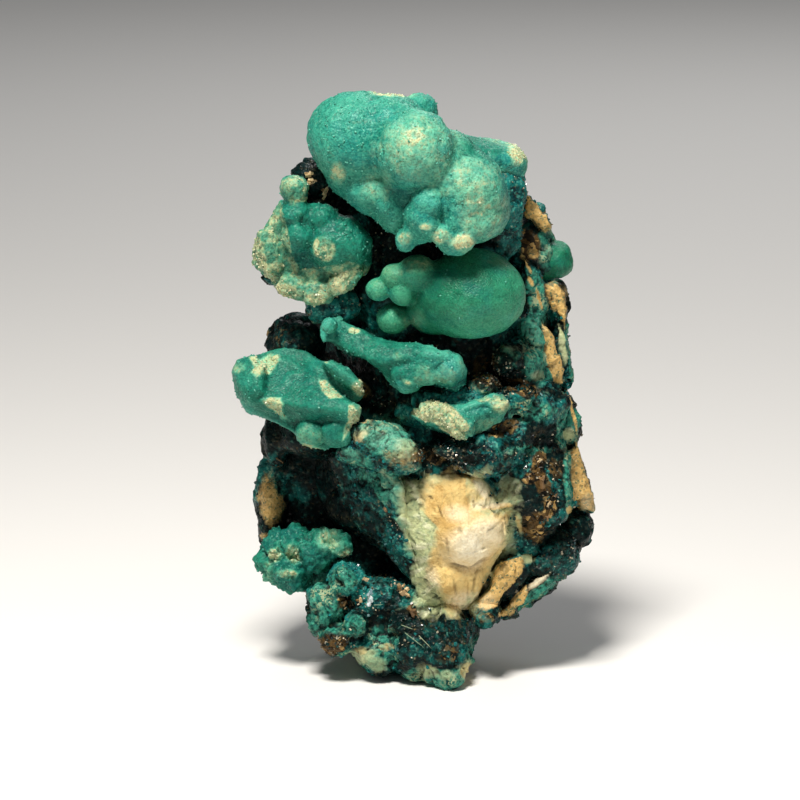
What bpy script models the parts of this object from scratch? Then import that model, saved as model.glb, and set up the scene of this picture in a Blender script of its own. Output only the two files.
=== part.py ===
"""A hand specimen of blue-green rounded crusts grown on dark, craggy rock, standing on its own foot.

Every growth and the rock are built the same way. Rounded or chipped lumps are laid in place as
icospheres, a voxel remesh fuses them into one skin, and a decimate gives that skin flat facets.
The rock is then sawn flat under its foot, and cut back by a thin gap around each growth.

Lumps are laid out in millimetres as they are seen by someone who looks at the front from a
little above: right and up across the view, and front towards the viewer along the ground.
The finished solids are in metres, +Z up, with the origin under the specimen on its flat foot.
"""

import bpy
import bmesh
import numpy as np
from collections import namedtuple
from math import cos, radians, sin
from mathutils import Matrix, Vector

METRES = 0.001
# The eye looks down on the specimen by this angle.
LOOK_DOWN = radians(12.0)
# The clear gap between a growth and the rock that it sits in.
ROOT_GAP = 0.3
# The side of the cube that saws the foot flat.
SAW_SIDE = 60.0

# A lump is a ball laid at (right, up, front) with its (half width, half height, half depth).
# turn lifts its right end and tip brings its top forward, in degrees.
# square 2 is a plain ellipsoid, and a larger number a boxier one.
Lump = namedtuple("Lump", "place halves turn tip square", defaults=(0, 0, 2))

CROWN = [
    Lump((-2.8, 26.1, 1.2), (2.4, 2.3, 2.3)),
    Lump((-3.8, 26.5, 0.6), (1.4, 1.6, 1.6)),
    Lump((-1.2, 26.2, 1.5), (2.0, 2.1, 2.1)),
    Lump((0.0, 25.45, 3.2), (1.95, 1.95, 1.95)),
    Lump((1.4, 24.6, 2.2), (2.0, 1.9, 2.0), -40),
    Lump((2.5, 23.5, 2.8), (1.9, 1.9, 1.9)),
    Lump((3.5, 22.7, 1.9), (1.4, 1.7, 1.7)),
    Lump((2.4, 22.2, 2.8), (1.9, 1.25, 1.7)),
    Lump((0.1, 27.5, -0.2), (0.8, 1.05, 1.1)),
    Lump((0.3, 27.0, -0.4), (0.6, 0.9, 0.9)),
    Lump((-3.4, 24.6, 0.9), (1.3, 1.6, 1.5), -25),
    Lump((-2.4, 23.6, 1.4), (1.6, 1.2, 1.6), -20),
    Lump((-1.1, 22.7, 1.8), (1.0, 1.3, 1.5), 25),
    Lump((0.6, 23.0, 3.8), (0.75, 0.8, 1.0)),
    Lump((0.4, 22.2, 3.6), (0.95, 0.95, 1.1)),
    Lump((0.5, 21.7, 4.1), (0.45, 0.4, 0.6)),
    Lump((-0.5, 21.1, 3.3), (0.52, 0.55, 0.6)),
    Lump((0.1, 21.5, 3.5), (0.7, 0.6, 0.8)),
    Lump((1.35, 21.4, 4.0), (0.55, 0.55, 0.7)),
    Lump((1.9, 20.9, 3.8), (0.75, 0.55, 0.8)),
    Lump((2.35, 21.2, 4.0), (0.5, 0.5, 0.6)),
    # the shelf that grew out behind the cluster
    Lump((2.9, 25.4, -0.9), (2.2, 0.85, 2.0), -8, 0, 3),
    Lump((4.7, 25.0, -0.7), (0.8, 0.95, 1.3), 15),
]
ROSETTE = [
    Lump((-4.95, 20.75, 0.6), (2.75, 2.6, 1.3), 0, -8, 2.2),
    Lump((-6.8, 20.6, 0.6), (0.95, 1.5, 1.1), 12),
    Lump((-3.6, 21.2, 1.4), (1.5, 1.5, 1.3)),
    Lump((-5.8, 22.4, 1.4), (0.75, 0.65, 0.9)),
    Lump((-5.8, 21.5, 1.6), (0.75, 0.75, 0.9)),
    Lump((-4.6, 22.4, 1.2), (1.2, 0.75, 1.0)),
    Lump((-4.5, 20.7, 1.8), (0.75, 0.65, 0.6)),
    Lump((-5.9, 23.6, 0.9), (0.68, 0.68, 0.8)),
    Lump((-6.2, 18.9, 1.0), (0.95, 0.6, 1.0), -30),
    Lump((-4.8, 18.5, 1.1), (1.1, 0.5, 1.0)),
    Lump((-3.3, 19.5, 1.2), (1.1, 0.6, 1.0), 35),
]
DOME = [
    Lump((2.7, 18.6, 1.6), (2.7, 2.2, 2.4)),
    Lump((0.9, 18.2, 1.0), (1.4, 1.6, 1.6)),
    Lump((0.1, 19.6, 2.2), (1.0, 0.9, 1.0)),
    Lump((-1.0, 19.5, 1.9), (0.7, 0.6, 0.9)),
    Lump((-1.8, 18.8, 1.8), (0.6, 0.6, 0.8)),
    Lump((-0.6, 18.6, 2.2), (0.65, 0.65, 0.8)),
    Lump((-1.1, 17.4, 1.3), (0.85, 0.8, 1.0)),
]
UPPER_LEDGE = [
    Lump((-4.1, 16.9, 1.8), (0.65, 0.62, 1.4)),
    Lump((-3.2, 16.4, 2.0), (1.1, 0.7, 1.6), -30, 0, 2.5),
    Lump((-2.0, 15.9, 2.2), (1.2, 0.9, 1.8), -25, 0, 2.5),
    Lump((-0.9, 15.3, 2.4), (1.3, 1.1, 1.9), -30, 0, 2.5),
    Lump((0.1, 15.0, 2.5), (1.3, 1.25, 1.9)),
    Lump((1.2, 15.1, 2.2), (1.2, 0.95, 1.8), -12),
    Lump((2.1, 14.6, 2.2), (0.6, 0.8, 1.5)),
    Lump((-0.5, 14.4, 3.5), (0.6, 0.5, 0.8)),
    Lump((0.3, 14.3, 3.6), (0.65, 0.6, 0.8)),
]
LOWER_LEDGE = [
    Lump((-7.5, 14.2, 1.2), (1.55, 1.35, 1.8), 12, 20, 2.6),
    Lump((-6.1, 14.3, 1.6), (2.0, 1.6, 2.2), 0, 25, 2.6),
    Lump((-4.9, 13.5, 2.2), (2.0, 1.45, 2.0), -20, 25, 2.6),
    Lump((-5.2, 12.2, 2.3), (1.2, 1.15, 1.4)),
    Lump((-3.8, 12.7, 2.8), (1.05, 1.25, 1.4)),
    Lump((-3.8, 11.5, 2.9), (0.75, 0.85, 1.0)),
    Lump((-3.5, 14.7, 2.0), (1.3, 0.5, 1.1), -27),
    Lump((-2.5, 14.2, 2.2), (0.6, 0.45, 0.9), -30),
]
SADDLE = [
    Lump((0.8, 12.4, 3.1), (1.25, 1.0, 1.3), 10, 0, 2.5),
    Lump((2.1, 12.2, 3.3), (1.3, 1.05, 1.3), -20, 0, 2.5),
    Lump((3.4, 12.3, 2.8), (1.2, 0.95, 1.3), 20),
    Lump((4.2, 13.1, 2.4), (0.5, 0.55, 0.8)),
]
LEFT_FOOT_CRUST = [
    Lump((-6.9, 5.7, -0.4), (0.75, 1.2, 1.2)),
    Lump((-6.2, 4.9, 0.0), (1.1, 0.95, 1.3)),
    Lump((-6.0, 6.3, -0.2), (0.8, 0.8, 1.1)),
    Lump((-4.9, 5.8, 0.2), (0.95, 1.0, 1.2)),
    Lump((-3.9, 6.3, 0.0), (0.7, 0.65, 1.0)),
]
RIM_BUD = [
    Lump((7.0, 20.4, -3.0), (0.85, 0.95, 1.3), 20),
    Lump((6.4, 19.9, -2.8), (0.6, 0.6, 1.0)),
]
ROCK = [
    # cores
    Lump((0.6, 22.0, -3.2), (4.6, 4.4, 3.4)),
    Lump((0.8, 16.2, -3.0), (5.8, 5.8, 3.9), 0, 0, 2.5),
    Lump((1.4, 9.6, -2.0), (6.4, 5.2, 4.8), 0, 0, 2.5),
    Lump((-2.8, 5.8, -2.8), (2.2, 2.6, 2.4)),
    Lump((4.8, 5.4, -2.6), (2.8, 2.4, 2.6)),
    Lump((6.2, 14.4, -3.4), (1.7, 2.6, 2.3)),
    # the crown's neck and the blue column at its right
    Lump((2.6, 22.6, -1.2), (2.9, 3.0, 2.4)),
    Lump((4.4, 23.3, -0.4), (1.0, 1.9, 1.6)),
    Lump((5.9, 22.6, -3.2), (0.45, 1.3, 1.5), -32),
    Lump((5.8, 20.9, -3.0), (1.3, 1.6, 2.0)),
    Lump((5.6, 17.6, -3.2), (1.7, 3.4, 2.4)),
    # behind the rosette
    Lump((-4.2, 21.4, -1.6), (2.6, 2.9, 2.2)),
    Lump((-5.2, 24.4, -0.6), (0.95, 0.95, 1.2)),
    Lump((-4.1, 18.1, 0.0), (1.5, 0.9, 1.4)),
    Lump((-7.2, 19.3, -1.0), (0.5, 0.5, 0.8)),
    # the layered right rim
    Lump((7.0, 18.1, -3.0), (0.7, 1.4, 1.7)),
    Lump((6.0, 16.9, -1.4), (0.8, 2.2, 1.6), -8),
    Lump((7.2, 15.7, -1.8), (0.75, 2.1, 1.5), 12),
    Lump((7.5, 13.0, -2.2), (0.9, 2.2, 1.7), 5),
    Lump((7.8, 9.6, -2.0), (1.0, 2.3, 2.0), 8, 0, 3),
    Lump((8.1, 7.4, -1.8), (0.95, 1.0, 1.6)),
    # the right face
    Lump((5.2, 15.2, -0.4), (1.3, 1.3, 1.6)),
    Lump((5.9, 12.8, 0.2), (1.7, 1.5, 1.7)),
    Lump((5.4, 9.2, 0.6), (2.2, 2.9, 2.2), 0, 0, 3),
    Lump((3.4, 10.9, 1.8), (2.0, 1.3, 1.7)),
    # the cream knob and the shelves below it at the right
    Lump((1.9, 7.6, 2.2), (2.9, 2.3, 2.4), 0, 0, 2.6),
    Lump((2.6, 6.3, 3.0), (1.9, 1.6, 2.0)),
    Lump((1.9, 4.4, 2.4), (1.8, 1.5, 2.0)),
    Lump((4.4, 4.4, 1.8), (0.6, 1.5, 1.6), -35, 0, 2.6),
    Lump((5.5, 3.8, 1.0), (1.75, 0.45, 1.7), 33, 0, 2.6),
    Lump((6.5, 5.8, -0.4), (1.7, 1.2, 2.2), 20),
    # the shoulder and the steep side that falls from it
    Lump((-1.3, 11.2, 2.6), (1.7, 1.25, 1.8)),
    Lump((-2.2, 11.7, 3.0), (0.75, 0.75, 0.9)),
    Lump((-2.0, 9.4, 1.0), (1.9, 1.8, 2.2), -30),
    Lump((-1.0, 7.4, 0.9), (1.7, 2.0, 2.0), -30),
    Lump((-0.2, 5.4, 0.6), (1.2, 1.6, 1.8)),
    # the left recess's back wall and the knob above it
    Lump((-5.2, 9.6, -4.2), (2.4, 4.4, 1.7), 0, 0, 3),
    Lump((-7.3, 8.2, -3.2), (0.8, 2.4, 1.5)),
    Lump((-6.9, 11.6, -2.6), (0.75, 1.8, 1.5)),
    Lump((-5.0, 12.6, -1.8), (2.3, 2.2, 2.2)),
    Lump((-6.0, 16.3, -1.8), (1.5, 1.45, 1.9)),
    Lump((-5.0, 5.4, -1.7), (2.4, 1.7, 1.9)),
    # the foot
    Lump((-4.4, 3.2, 1.6), (1.0, 1.4, 1.5)),
    Lump((-4.6, 2.5, 1.6), (0.85, 0.9, 1.2)),
    Lump((-3.4, 4.5, 1.6), (1.0, 0.95, 1.3)),
    Lump((-3.8, 1.6, 2.4), (1.0, 1.0, 1.2)),
    Lump((-2.9, 2.3, 3.0), (0.7, 0.7, 0.9)),
    Lump((-1.9, 1.3, 1.6), (1.5, 1.6, 1.8)),
    Lump((-1.9, 3.2, 1.2), (1.7, 1.6, 1.6)),
    Lump((0.4, 1.2, 2.2), (1.9, 1.9, 1.9)),
    Lump((1.9, 1.4, 2.4), (1.1, 2.0, 1.9), 12),
    Lump((1.3, 0.9, 3.0), (1.2, 1.4, 1.5)),
    Lump((1.5, 0.0, 3.5), (1.0, 1.1, 1.1)),
    Lump((3.5, 2.9, 2.0), (0.8, 0.8, 1.3)),
    Lump((-0.5, 2.3, -1.8), (3.7, 3.6, 4.4), 0, 0, 3),
    Lump((1.7, 2.4, -2.6), (1.7, 2.9, 3.0), 0, 0, 3),
    # the broken back
    Lump((2.3, 23.6, -5.0), (2.2, 1.9, 1.7), 0, 0, 3),
    Lump((-2.4, 21.6, -5.0), (2.2, 2.5, 1.8), 20, 0, 3),
    Lump((3.6, 19.6, -5.4), (2.3, 2.2, 1.6), -15, 0, 3),
    Lump((-0.4, 18.2, -6.0), (2.4, 1.9, 1.4), 10, 0, 3),
    Lump((-3.9, 16.6, -4.8), (1.8, 2.4, 1.9), 0, 0, 3),
    Lump((4.8, 15.2, -5.2), (2.1, 2.4, 1.7), 8, 0, 3),
    Lump((0.8, 14.2, -6.1), (2.6, 1.9, 1.3), -20, 0, 3),
    Lump((-3.2, 12.6, -5.6), (2.2, 1.8, 1.6), 15, 0, 3),
    Lump((5.8, 11.2, -5.0), (1.9, 2.2, 1.9), 0, 0, 3),
    Lump((1.9, 10.4, -6.2), (2.4, 1.8, 1.4), 25, 0, 3),
    Lump((-2.0, 8.4, -5.8), (2.3, 2.2, 1.6), -12, 0, 3),
    Lump((4.4, 7.2, -5.3), (2.4, 1.6, 1.7), 10, 0, 3),
    Lump((-4.8, 6.6, -4.6), (2.0, 1.8, 1.7), 0, 0, 3),
    Lump((1.0, 5.4, -5.4), (2.6, 1.5, 1.6), -8, 0, 3),
]

GROWTHS = {
    "crown": (CROWN, 1500, (0.16, 0.50, 0.44)),
    "rosette": (ROSETTE, 650, (0.12, 0.45, 0.40)),
    "dome": (DOME, 550, (0.10, 0.42, 0.33)),
    "upper_ledge": (UPPER_LEDGE, 420, (0.12, 0.48, 0.42)),
    "lower_ledge": (LOWER_LEDGE, 520, (0.08, 0.40, 0.34)),
    "saddle": (SADDLE, 260, (0.30, 0.48, 0.38)),
    "left_foot_crust": (LEFT_FOOT_CRUST, 280, (0.12, 0.42, 0.42)),
    "rim_bud": (RIM_BUD, 160, (0.10, 0.35, 0.26)),
}
# A socket is as coarse as this share of its growth's triangles.
SOCKET_SHARE = 0.45
ROCK_TRIANGLES = 3700
ROCK_COLOUR = (0.10, 0.10, 0.09)
ROCK_SEED = 7
CHIPS = 14
CHIP_DEPTHS = (0.74, 0.97)
VOXEL = 0.25


def clear_scene():
    for obj in list(bpy.data.objects):
        bpy.data.objects.remove(obj, do_unlink=True)


def collection(name):
    made = bpy.data.collections.new(name)
    bpy.context.scene.collection.children.link(made)
    return made


def seen_place(right, up, front):
    """The point in millimetres, +Z up, that is seen at right and up, and lies front of the origin."""
    return Vector((right, -front, (up + front * sin(LOOK_DOWN)) / cos(LOOK_DOWN)))


def squared(directions, square):
    """Radius of a ball with that squareness along each direction: 2 is round, and more is boxier."""
    return (np.abs(directions) ** square).sum(axis=1) ** (-1 / square)


def chipped(directions, radius, rng):
    """The radius along each direction after CHIPS flat faces are struck off the ball."""
    for _ in range(CHIPS):
        normal = rng.normal(size=3)
        normal /= np.linalg.norm(normal)
        facing = np.maximum(directions @ normal, 1e-3)
        radius = np.minimum(radius, rng.uniform(*CHIP_DEPTHS) / facing)
    return radius


def add_lump(bm, lump, grow, rng):
    """One ball scaled to its half sizes, turned and set in place. It is chipped if rng is given."""
    made = bmesh.ops.create_icosphere(bm, subdivisions=3, radius=1.0)["verts"]
    directions = np.array([vert.co.normalized() for vert in made])
    radius = squared(directions, lump.square)
    if rng:
        radius = chipped(directions, radius, rng)
    width, height, depth = (half + grow for half in lump.halves)
    size = Matrix.Diagonal((width, depth, height)).to_4x4()
    lean = Matrix.Rotation(radians(lump.tip), 4, "X")
    spin = Matrix.Rotation(-radians(lump.turn), 4, "Y")
    at = Matrix.Translation(seen_place(*lump.place)) @ spin @ lean @ size
    for vert, point in zip(made, directions * radius[:, None]):
        vert.co = at @ Vector(point)


def evaluated(obj):
    """A mesh of obj with its modifiers applied. obj is removed."""
    bpy.context.view_layer.update()
    graph = bpy.context.evaluated_depsgraph_get()
    mesh = bpy.data.meshes.new_from_object(obj.evaluated_get(graph))
    bpy.data.objects.remove(obj, do_unlink=True)
    return mesh


def triangle_count(mesh):
    return sum(len(face.vertices) - 2 for face in mesh.polygons)


def fused(name, lumps, triangles, group, grow=0.0, seed=None):
    """The lumps as one closed skin of about that many triangles. A seed chips them like rock."""
    rng = np.random.default_rng(seed) if seed else None
    bm = bmesh.new()
    for lump in lumps:
        add_lump(bm, lump, grow, rng)
    mesh = bpy.data.meshes.new(name)
    bm.to_mesh(mesh)
    bm.free()

    obj = bpy.data.objects.new(name, mesh)
    group.objects.link(obj)
    remesh = obj.modifiers.new("fuse", "REMESH")
    remesh.mode = "VOXEL"
    remesh.voxel_size = VOXEL
    smooth = obj.modifiers.new("soften", "SMOOTH")
    smooth.factor = 0.5
    smooth.iterations = 3
    skin = evaluated(obj)

    obj = bpy.data.objects.new(name, skin)
    group.objects.link(obj)
    facet = obj.modifiers.new("facet", "DECIMATE")
    facet.ratio = min(1.0, triangles / triangle_count(skin))
    faceted = evaluated(obj)

    obj = bpy.data.objects.new(name, faceted)
    group.objects.link(obj)
    return obj


def largest_island(mesh):
    """Leaves the largest connected body of the mesh and drops chips that the cuts set free."""
    bm = bmesh.new()
    bm.from_mesh(mesh)
    left = set(bm.verts)
    islands = []
    while left:
        reached = [left.pop()]
        island = []
        while reached:
            vert = reached.pop()
            island.append(vert)
            for edge in vert.link_edges:
                other = edge.other_vert(vert)
                if other in left:
                    left.remove(other)
                    reached.append(other)
        islands.append(island)
    islands.sort(key=len)
    for island in islands[:-1]:
        bmesh.ops.delete(bm, geom=island, context="VERTS")
    bm.to_mesh(mesh)
    bm.free()


def cut(obj, cutters, group):
    """obj less each cutter, as a new object of the same name."""
    name = obj.name
    for cutter in cutters:
        boolean = obj.modifiers.new("cut by " + cutter.name, "BOOLEAN")
        boolean.operation = "DIFFERENCE"
        boolean.object = cutter
    mesh = evaluated(obj)
    largest_island(mesh)
    made = bpy.data.objects.new(name, mesh)
    group.objects.link(made)
    return made


def corners(obj):
    """The lowest and highest corner of the object's mesh."""
    points = np.array([vert.co for vert in obj.data.vertices])
    return points.min(axis=0), points.max(axis=0)


def boxes_meet(one, other):
    low, high = corners(one)
    other_low, other_high = corners(other)
    return bool((low < other_high).all() and (other_low < high).all())


def saw(group):
    """A cube whose top face is the ground that the foot stands on."""
    bm = bmesh.new()
    bmesh.ops.create_cube(bm, size=SAW_SIDE, matrix=Matrix.Translation((0, 0, -SAW_SIDE / 2)))
    mesh = bpy.data.meshes.new("foot_saw")
    bm.to_mesh(mesh)
    bm.free()
    obj = bpy.data.objects.new("foot_saw", mesh)
    group.objects.link(obj)
    return obj


def as_cutter(obj):
    obj.hide_render = True
    obj.display_type = "WIRE"


def dress(obj, colour, roughness):
    """The object's own material."""
    material = bpy.data.materials.new(obj.name)
    material.use_nodes = True
    shader = material.node_tree.nodes["Principled BSDF"]
    shader.inputs["Base Color"].default_value = (*colour, 1.0)
    shader.inputs["Roughness"].default_value = roughness
    shader.inputs["Metallic"].default_value = 0.0
    obj.data.materials.clear()
    obj.data.materials.append(material)


def main():
    clear_scene()
    specimen = collection("specimen")
    helpers = collection("cutters")

    sockets = []
    for name, (lumps, triangles, colour) in GROWTHS.items():
        growth = fused(name, lumps, triangles, specimen)
        near = [socket for socket in sockets if boxes_meet(socket, growth)]
        if near:
            growth = cut(growth, near, specimen)
        dress(growth, colour, 0.45)
        coarse = int(triangles * SOCKET_SHARE)
        sockets.append(fused(name + "_socket", lumps, coarse, helpers, grow=ROOT_GAP))
    rock = fused("rock", ROCK, ROCK_TRIANGLES, specimen, seed=ROCK_SEED)
    cutters = [saw(helpers), *sockets]
    rock = cut(rock, cutters, specimen)
    dress(rock, ROCK_COLOUR, 0.8)
    for cutter in cutters:
        as_cutter(cutter)

    to_metres = Matrix.Scale(METRES, 4)
    for obj in [*specimen.objects, *helpers.objects]:
        obj.data.transform(to_metres)


main()
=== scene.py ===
"""The looks of a blue-green mineral specimen: rounded crusts grown on dark rock with cream seams.

Each growth, and each part of the rock, is a set of lumps that are worked out as grids and fused into
one skin. Noise then roughens the skin, and masks that are kept on its points colour it. Small crystals
are scattered over the dark rock. Lengths are in millimetres until a mesh is made, and then in metres.
"""

from collections import namedtuple
from math import cos, radians, sin

import bpy
import numpy as np
from bpy.props import FloatProperty, FloatVectorProperty, IntProperty, PointerProperty
from bpy.types import Operator, Panel, PropertyGroup
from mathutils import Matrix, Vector


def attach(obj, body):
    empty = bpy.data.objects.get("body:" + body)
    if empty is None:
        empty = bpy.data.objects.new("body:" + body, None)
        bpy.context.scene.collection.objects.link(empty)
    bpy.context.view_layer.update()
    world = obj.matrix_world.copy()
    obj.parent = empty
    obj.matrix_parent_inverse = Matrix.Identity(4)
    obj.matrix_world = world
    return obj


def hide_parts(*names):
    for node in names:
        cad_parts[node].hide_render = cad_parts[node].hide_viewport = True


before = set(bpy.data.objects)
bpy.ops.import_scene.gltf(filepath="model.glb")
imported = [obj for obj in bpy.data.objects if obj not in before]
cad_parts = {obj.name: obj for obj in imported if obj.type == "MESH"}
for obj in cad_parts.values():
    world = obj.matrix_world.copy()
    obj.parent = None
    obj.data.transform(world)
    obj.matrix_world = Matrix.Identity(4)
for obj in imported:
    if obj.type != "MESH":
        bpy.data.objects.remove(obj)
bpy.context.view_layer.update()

bl_info = {
    "name": "Blue-green mineral specimen",
    "version": (1, 0, 0),
    "blender": (4, 5, 0),
    "location": "3D View > Sidebar > Specimen",
    "description": "Builds the crusts, rock and crystals of a mineral specimen around its frame",
    "category": "Add Mesh",
}

METRES = 0.001
LOOK_DOWN = radians(12)
TOWARDS_EYE = (0, -cos(LOOK_DOWN), sin(LOOK_DOWN))

# The random draws of the rock's lumps and of the crystals. Each noise has a salt, a number of its own.
ROCK_SEED, CRYSTAL_SEED = 7, 19
# How many flat chips are cut off a lump of rock, at these shares of its radius.
CHIPS, CHIP_DEPTHS = 14, (0.74, 0.97)
# Points along an edge of the cube that a lump's grid starts from.
GRID = 20
GROWTH_VOXEL = 0.079
# The relief of the growths, whose depths stand in GROWTHS, and of the rock.
KNOB_SIZE, WART_SIZE, FACET_SIZE, GRAIN_SIZE = 1.6, 0.7, 1.1, 0.2
CRAG_SIZE, CRAG_DEPTH = 1.8, 0.2
BLOCK_SIZE, BLOCK_DEPTH = 1.2, 0.22
CHIP_SIZE, CHIP_DEPTH = 0.5, 0.09
DRUSE_SIZE, DRUSE_DEPTH = 0.26, 0.045
FIBRE_SIZE, FIBRE_DEPTH = 0.16, 0.038
CRUST_SIZE, CRUST_DEPTH = 0.45, 0.12
CRACK_DEPTH = 0.12
# How far behind the origin the front's spots fade out, and the noise of the back sets in.
SPOT_FADE, AWAY_FADE = (-4.2, -3.2), (-4.6, -3.4)
# A larger crystal is laid on the rock within this distance of its place, as it is seen.
LAID_WITHIN = 0.25
# How softly the planes of a slab's face meet, and how thick the slab is at least.
PLANE_BLEND, THIN_EDGE = 0.12, 0.15
# The cream knob's fibres spread from here, as it is seen from the front.
FAN_CENTRE = (2.5, 6.2)
# In metres: the floor's side, the height that the lamps shine at, and the camera's distance.
FLOOR_SIDE = 4
LIGHT_AIM = 0.014
CAMERA_FAR = 0.25

# A lump is a ball laid at (right, up, front) with its (half width, half height, half depth).
# turn lifts its right end and tip brings its top forward, in degrees.
# square 2 is a plain ellipsoid, and a larger number a boxier one.
Lump = namedtuple("Lump", "place halves turn tip square", defaults=(0, 0, 2))
# A slab is a flat body with a drawn outline of (right, up) corners as it is seen. Its rim lies front of the
# origin and leans by (rise to the right, rise upwards). Its face is the lowest of some planes, each
# (height over the rim, rise to the right, rise upwards), and back is how far it reaches behind its rim.
Slab = namedtuple("Slab", "outline front planes back lean square", defaults=(1.2, (0, 0), 3))
# A spot is an ellipse on the seen face, at (right, up) with its (half width, half height), turn and strength.
# A patch has a drawn outline instead. soft is the width of the edge.
Spot = namedtuple("Spot", "place halves turn strength soft")
Patch = namedtuple("Patch", "outline strength soft")


def forms(*rows):
    """A slab from each row that begins with an outline, and a lump from each row of its numbers in order."""
    return [Slab(*row) if isinstance(row[0], list) else Lump(row[:3], row[3:6], *row[6:]) for row in rows]


def spots(*rows, soft=0.25):
    """A patch from each row that begins with an outline, and a spot from each row of its numbers in order.

    Turn is 0, strength is 1 and soft is the one given for all the rows, unless a row says otherwise.
    """
    made = []
    for row in rows:
        if isinstance(row[0], list):
            made.append(Patch(*row, *(1, soft)[len(row) - 1:]))
        else:
            made.append(Spot(row[:2], row[2:4], *row[4:], *(0, 1, soft)[len(row) - 4:]))
    return made


CROWN = forms(
    (-2.8, 26.1, 1.2, 2.4, 2.3, 2.3), (-3.8, 26.5, 0.6, 1.4, 1.6, 1.6), (-1.2, 26.2, 1.5, 2, 2.1, 2.1),
    (0, 25.45, 3.2, 1.95, 1.95, 1.95), (1.4, 24.6, 2.2, 2, 1.9, 2, -40), (2.5, 23.5, 2.8, 1.9, 1.9, 1.9),
    (3.2, 22.8, 1.9, 1.4, 1.6, 1.7), (2.4, 22.2, 2.8, 1.9, 1.25, 1.7), (0.2, 27.4, -0.2, 0.9, 0.98, 1.1),
    (-0.6, 23.7, 1.7, 1.6, 1.4, 1.5), (0.3, 27, -0.4, 0.6, 0.9, 0.9),
    (-3.05, 24.7, 0.9, 1.25, 1.5, 1.5, -25), (-2.2, 23.6, 1.4, 1.5, 1.15, 1.6, -25),
    (-1.1, 22.7, 1.8, 1, 1.3, 1.5, 25), (0.6, 23, 3.8, 0.75, 0.8, 1), (0.4, 22.2, 3.6, 0.95, 0.95, 1.1),
    (0.5, 21.7, 4.1, 0.45, 0.4, 0.6), (-0.5, 21.1, 3.3, 0.52, 0.55, 0.6), (0.1, 21.5, 3.5, 0.7, 0.6, 0.8),
    (1.35, 21.4, 4, 0.55, 0.55, 0.7), (1.9, 20.9, 3.8, 0.75, 0.55, 0.8), (2.35, 21.2, 4, 0.5, 0.5, 0.6),
    # the shelf that grew out behind the cluster
    (2.9, 25.4, -0.9, 2.2, 0.85, 2, -8, 0, 3), (4.7, 25, -0.7, 0.8, 0.95, 1.3, 15)
)
ROSETTE = forms(
    # the pale plate
    ([(-6.6, 23.05), (-7.15, 22.2), (-7.65, 21.4), (-7.93, 20.7), (-7.8, 20), (-7.25, 19.4), (-6.65, 18.6),
     (-5.85, 18.3), (-4.85, 18.05), (-3.95, 18.3), (-3.15, 18.9), (-2.45, 19.6), (-2.1, 20.4), (-2.2, 21.2),
     (-2.6, 21.9), (-3.5, 22.4), (-4.3, 22.9), (-5.3, 23.05)], 0.3, [(0.95, 0, 0), (1.5, 0.35, 0.3),
     (1.3, -0.25, 0.1)], 1.2, (0.15, -0.05)),
    (-6, 18.95, 1, 0.75, 0.55, 0.6, -20, 0, 3), (-4.75, 18.7, 1.1, 0.7, 0.55, 0.6, 0, 0, 3),
    (-3.4, 19.4, 1.3, 0.95, 0.5, 0.6, 40, 0, 3), (-7.1, 20.7, 0.6, 0.6, 1.1, 0.7, 10, 0, 3),
    # its nodules
    (-5.85, 22.5, 1.1, 0.82, 0.72, 0.9), (-5.75, 21.4, 1.35, 0.85, 0.8, 0.9),
    (-4.6, 22.3, 1, 0.95, 0.7, 0.8), (-3.7, 20.95, 1.2, 1.55, 1.35, 1.2),
    (-3.5, 21.8, 0.9, 0.95, 0.65, 0.9, -30), (-4.5, 20.55, 1.9, 0.62, 0.55, 0.5),
    (-5.9, 23.65, 0.9, 0.7, 0.68, 0.75, 0, 0, 2.5)
)
DOME = forms(
    (2.7, 18.6, 1.6, 2.7, 2.2, 2.4), (0.9, 18.2, 1, 1.4, 1.6, 1.6), (0.1, 19.6, 2.2, 1, 0.9, 1),
    (-1, 19.5, 1.9, 0.7, 0.6, 0.9), (-1.8, 18.8, 1.8, 0.6, 0.6, 0.8), (-0.6, 18.6, 2.2, 0.65, 0.65, 0.8),
    (-1.1, 17.4, 1.3, 0.85, 0.8, 1)
)
UPPER_LEDGE = forms(
    ([(-4.72, 17), (-4.43, 17.5), (-3.99, 17.42), (-3.62, 17.08), (-2.88, 16.9), (-2.15, 16.55),
     (-1.26, 16.34), (-0.38, 16.19), (0.79, 16.05), (1.75, 15.6), (2.45, 15), (2.55, 14.2), (2.05, 13.75),
     (1.3, 14), (0.6, 14.2), (0, 13.85), (-0.6, 13.7), (-1.1, 14.1), (-1.7, 14.85), (-2.35, 15.3),
     (-3.2, 15.75), (-4.1, 16.27), (-4.65, 16.5)], 2, [(1.35, 0.2, -0.6), (1.35, 0, 1.1)], 1.8, (0.1, -0.3),
     4),
    (-0.45, 14.45, 2.9, 0.65, 0.75, 0.7, 20, 0, 2.6), (0.45, 14.85, 3, 0.7, 0.7, 0.7, 0, 0, 2.4),
    (1.55, 14.9, 2.8, 0.8, 0.8, 0.8, 0, 0, 2.6), (-4.25, 17, 2.2, 0.4, 0.42, 0.6)
)
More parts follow.
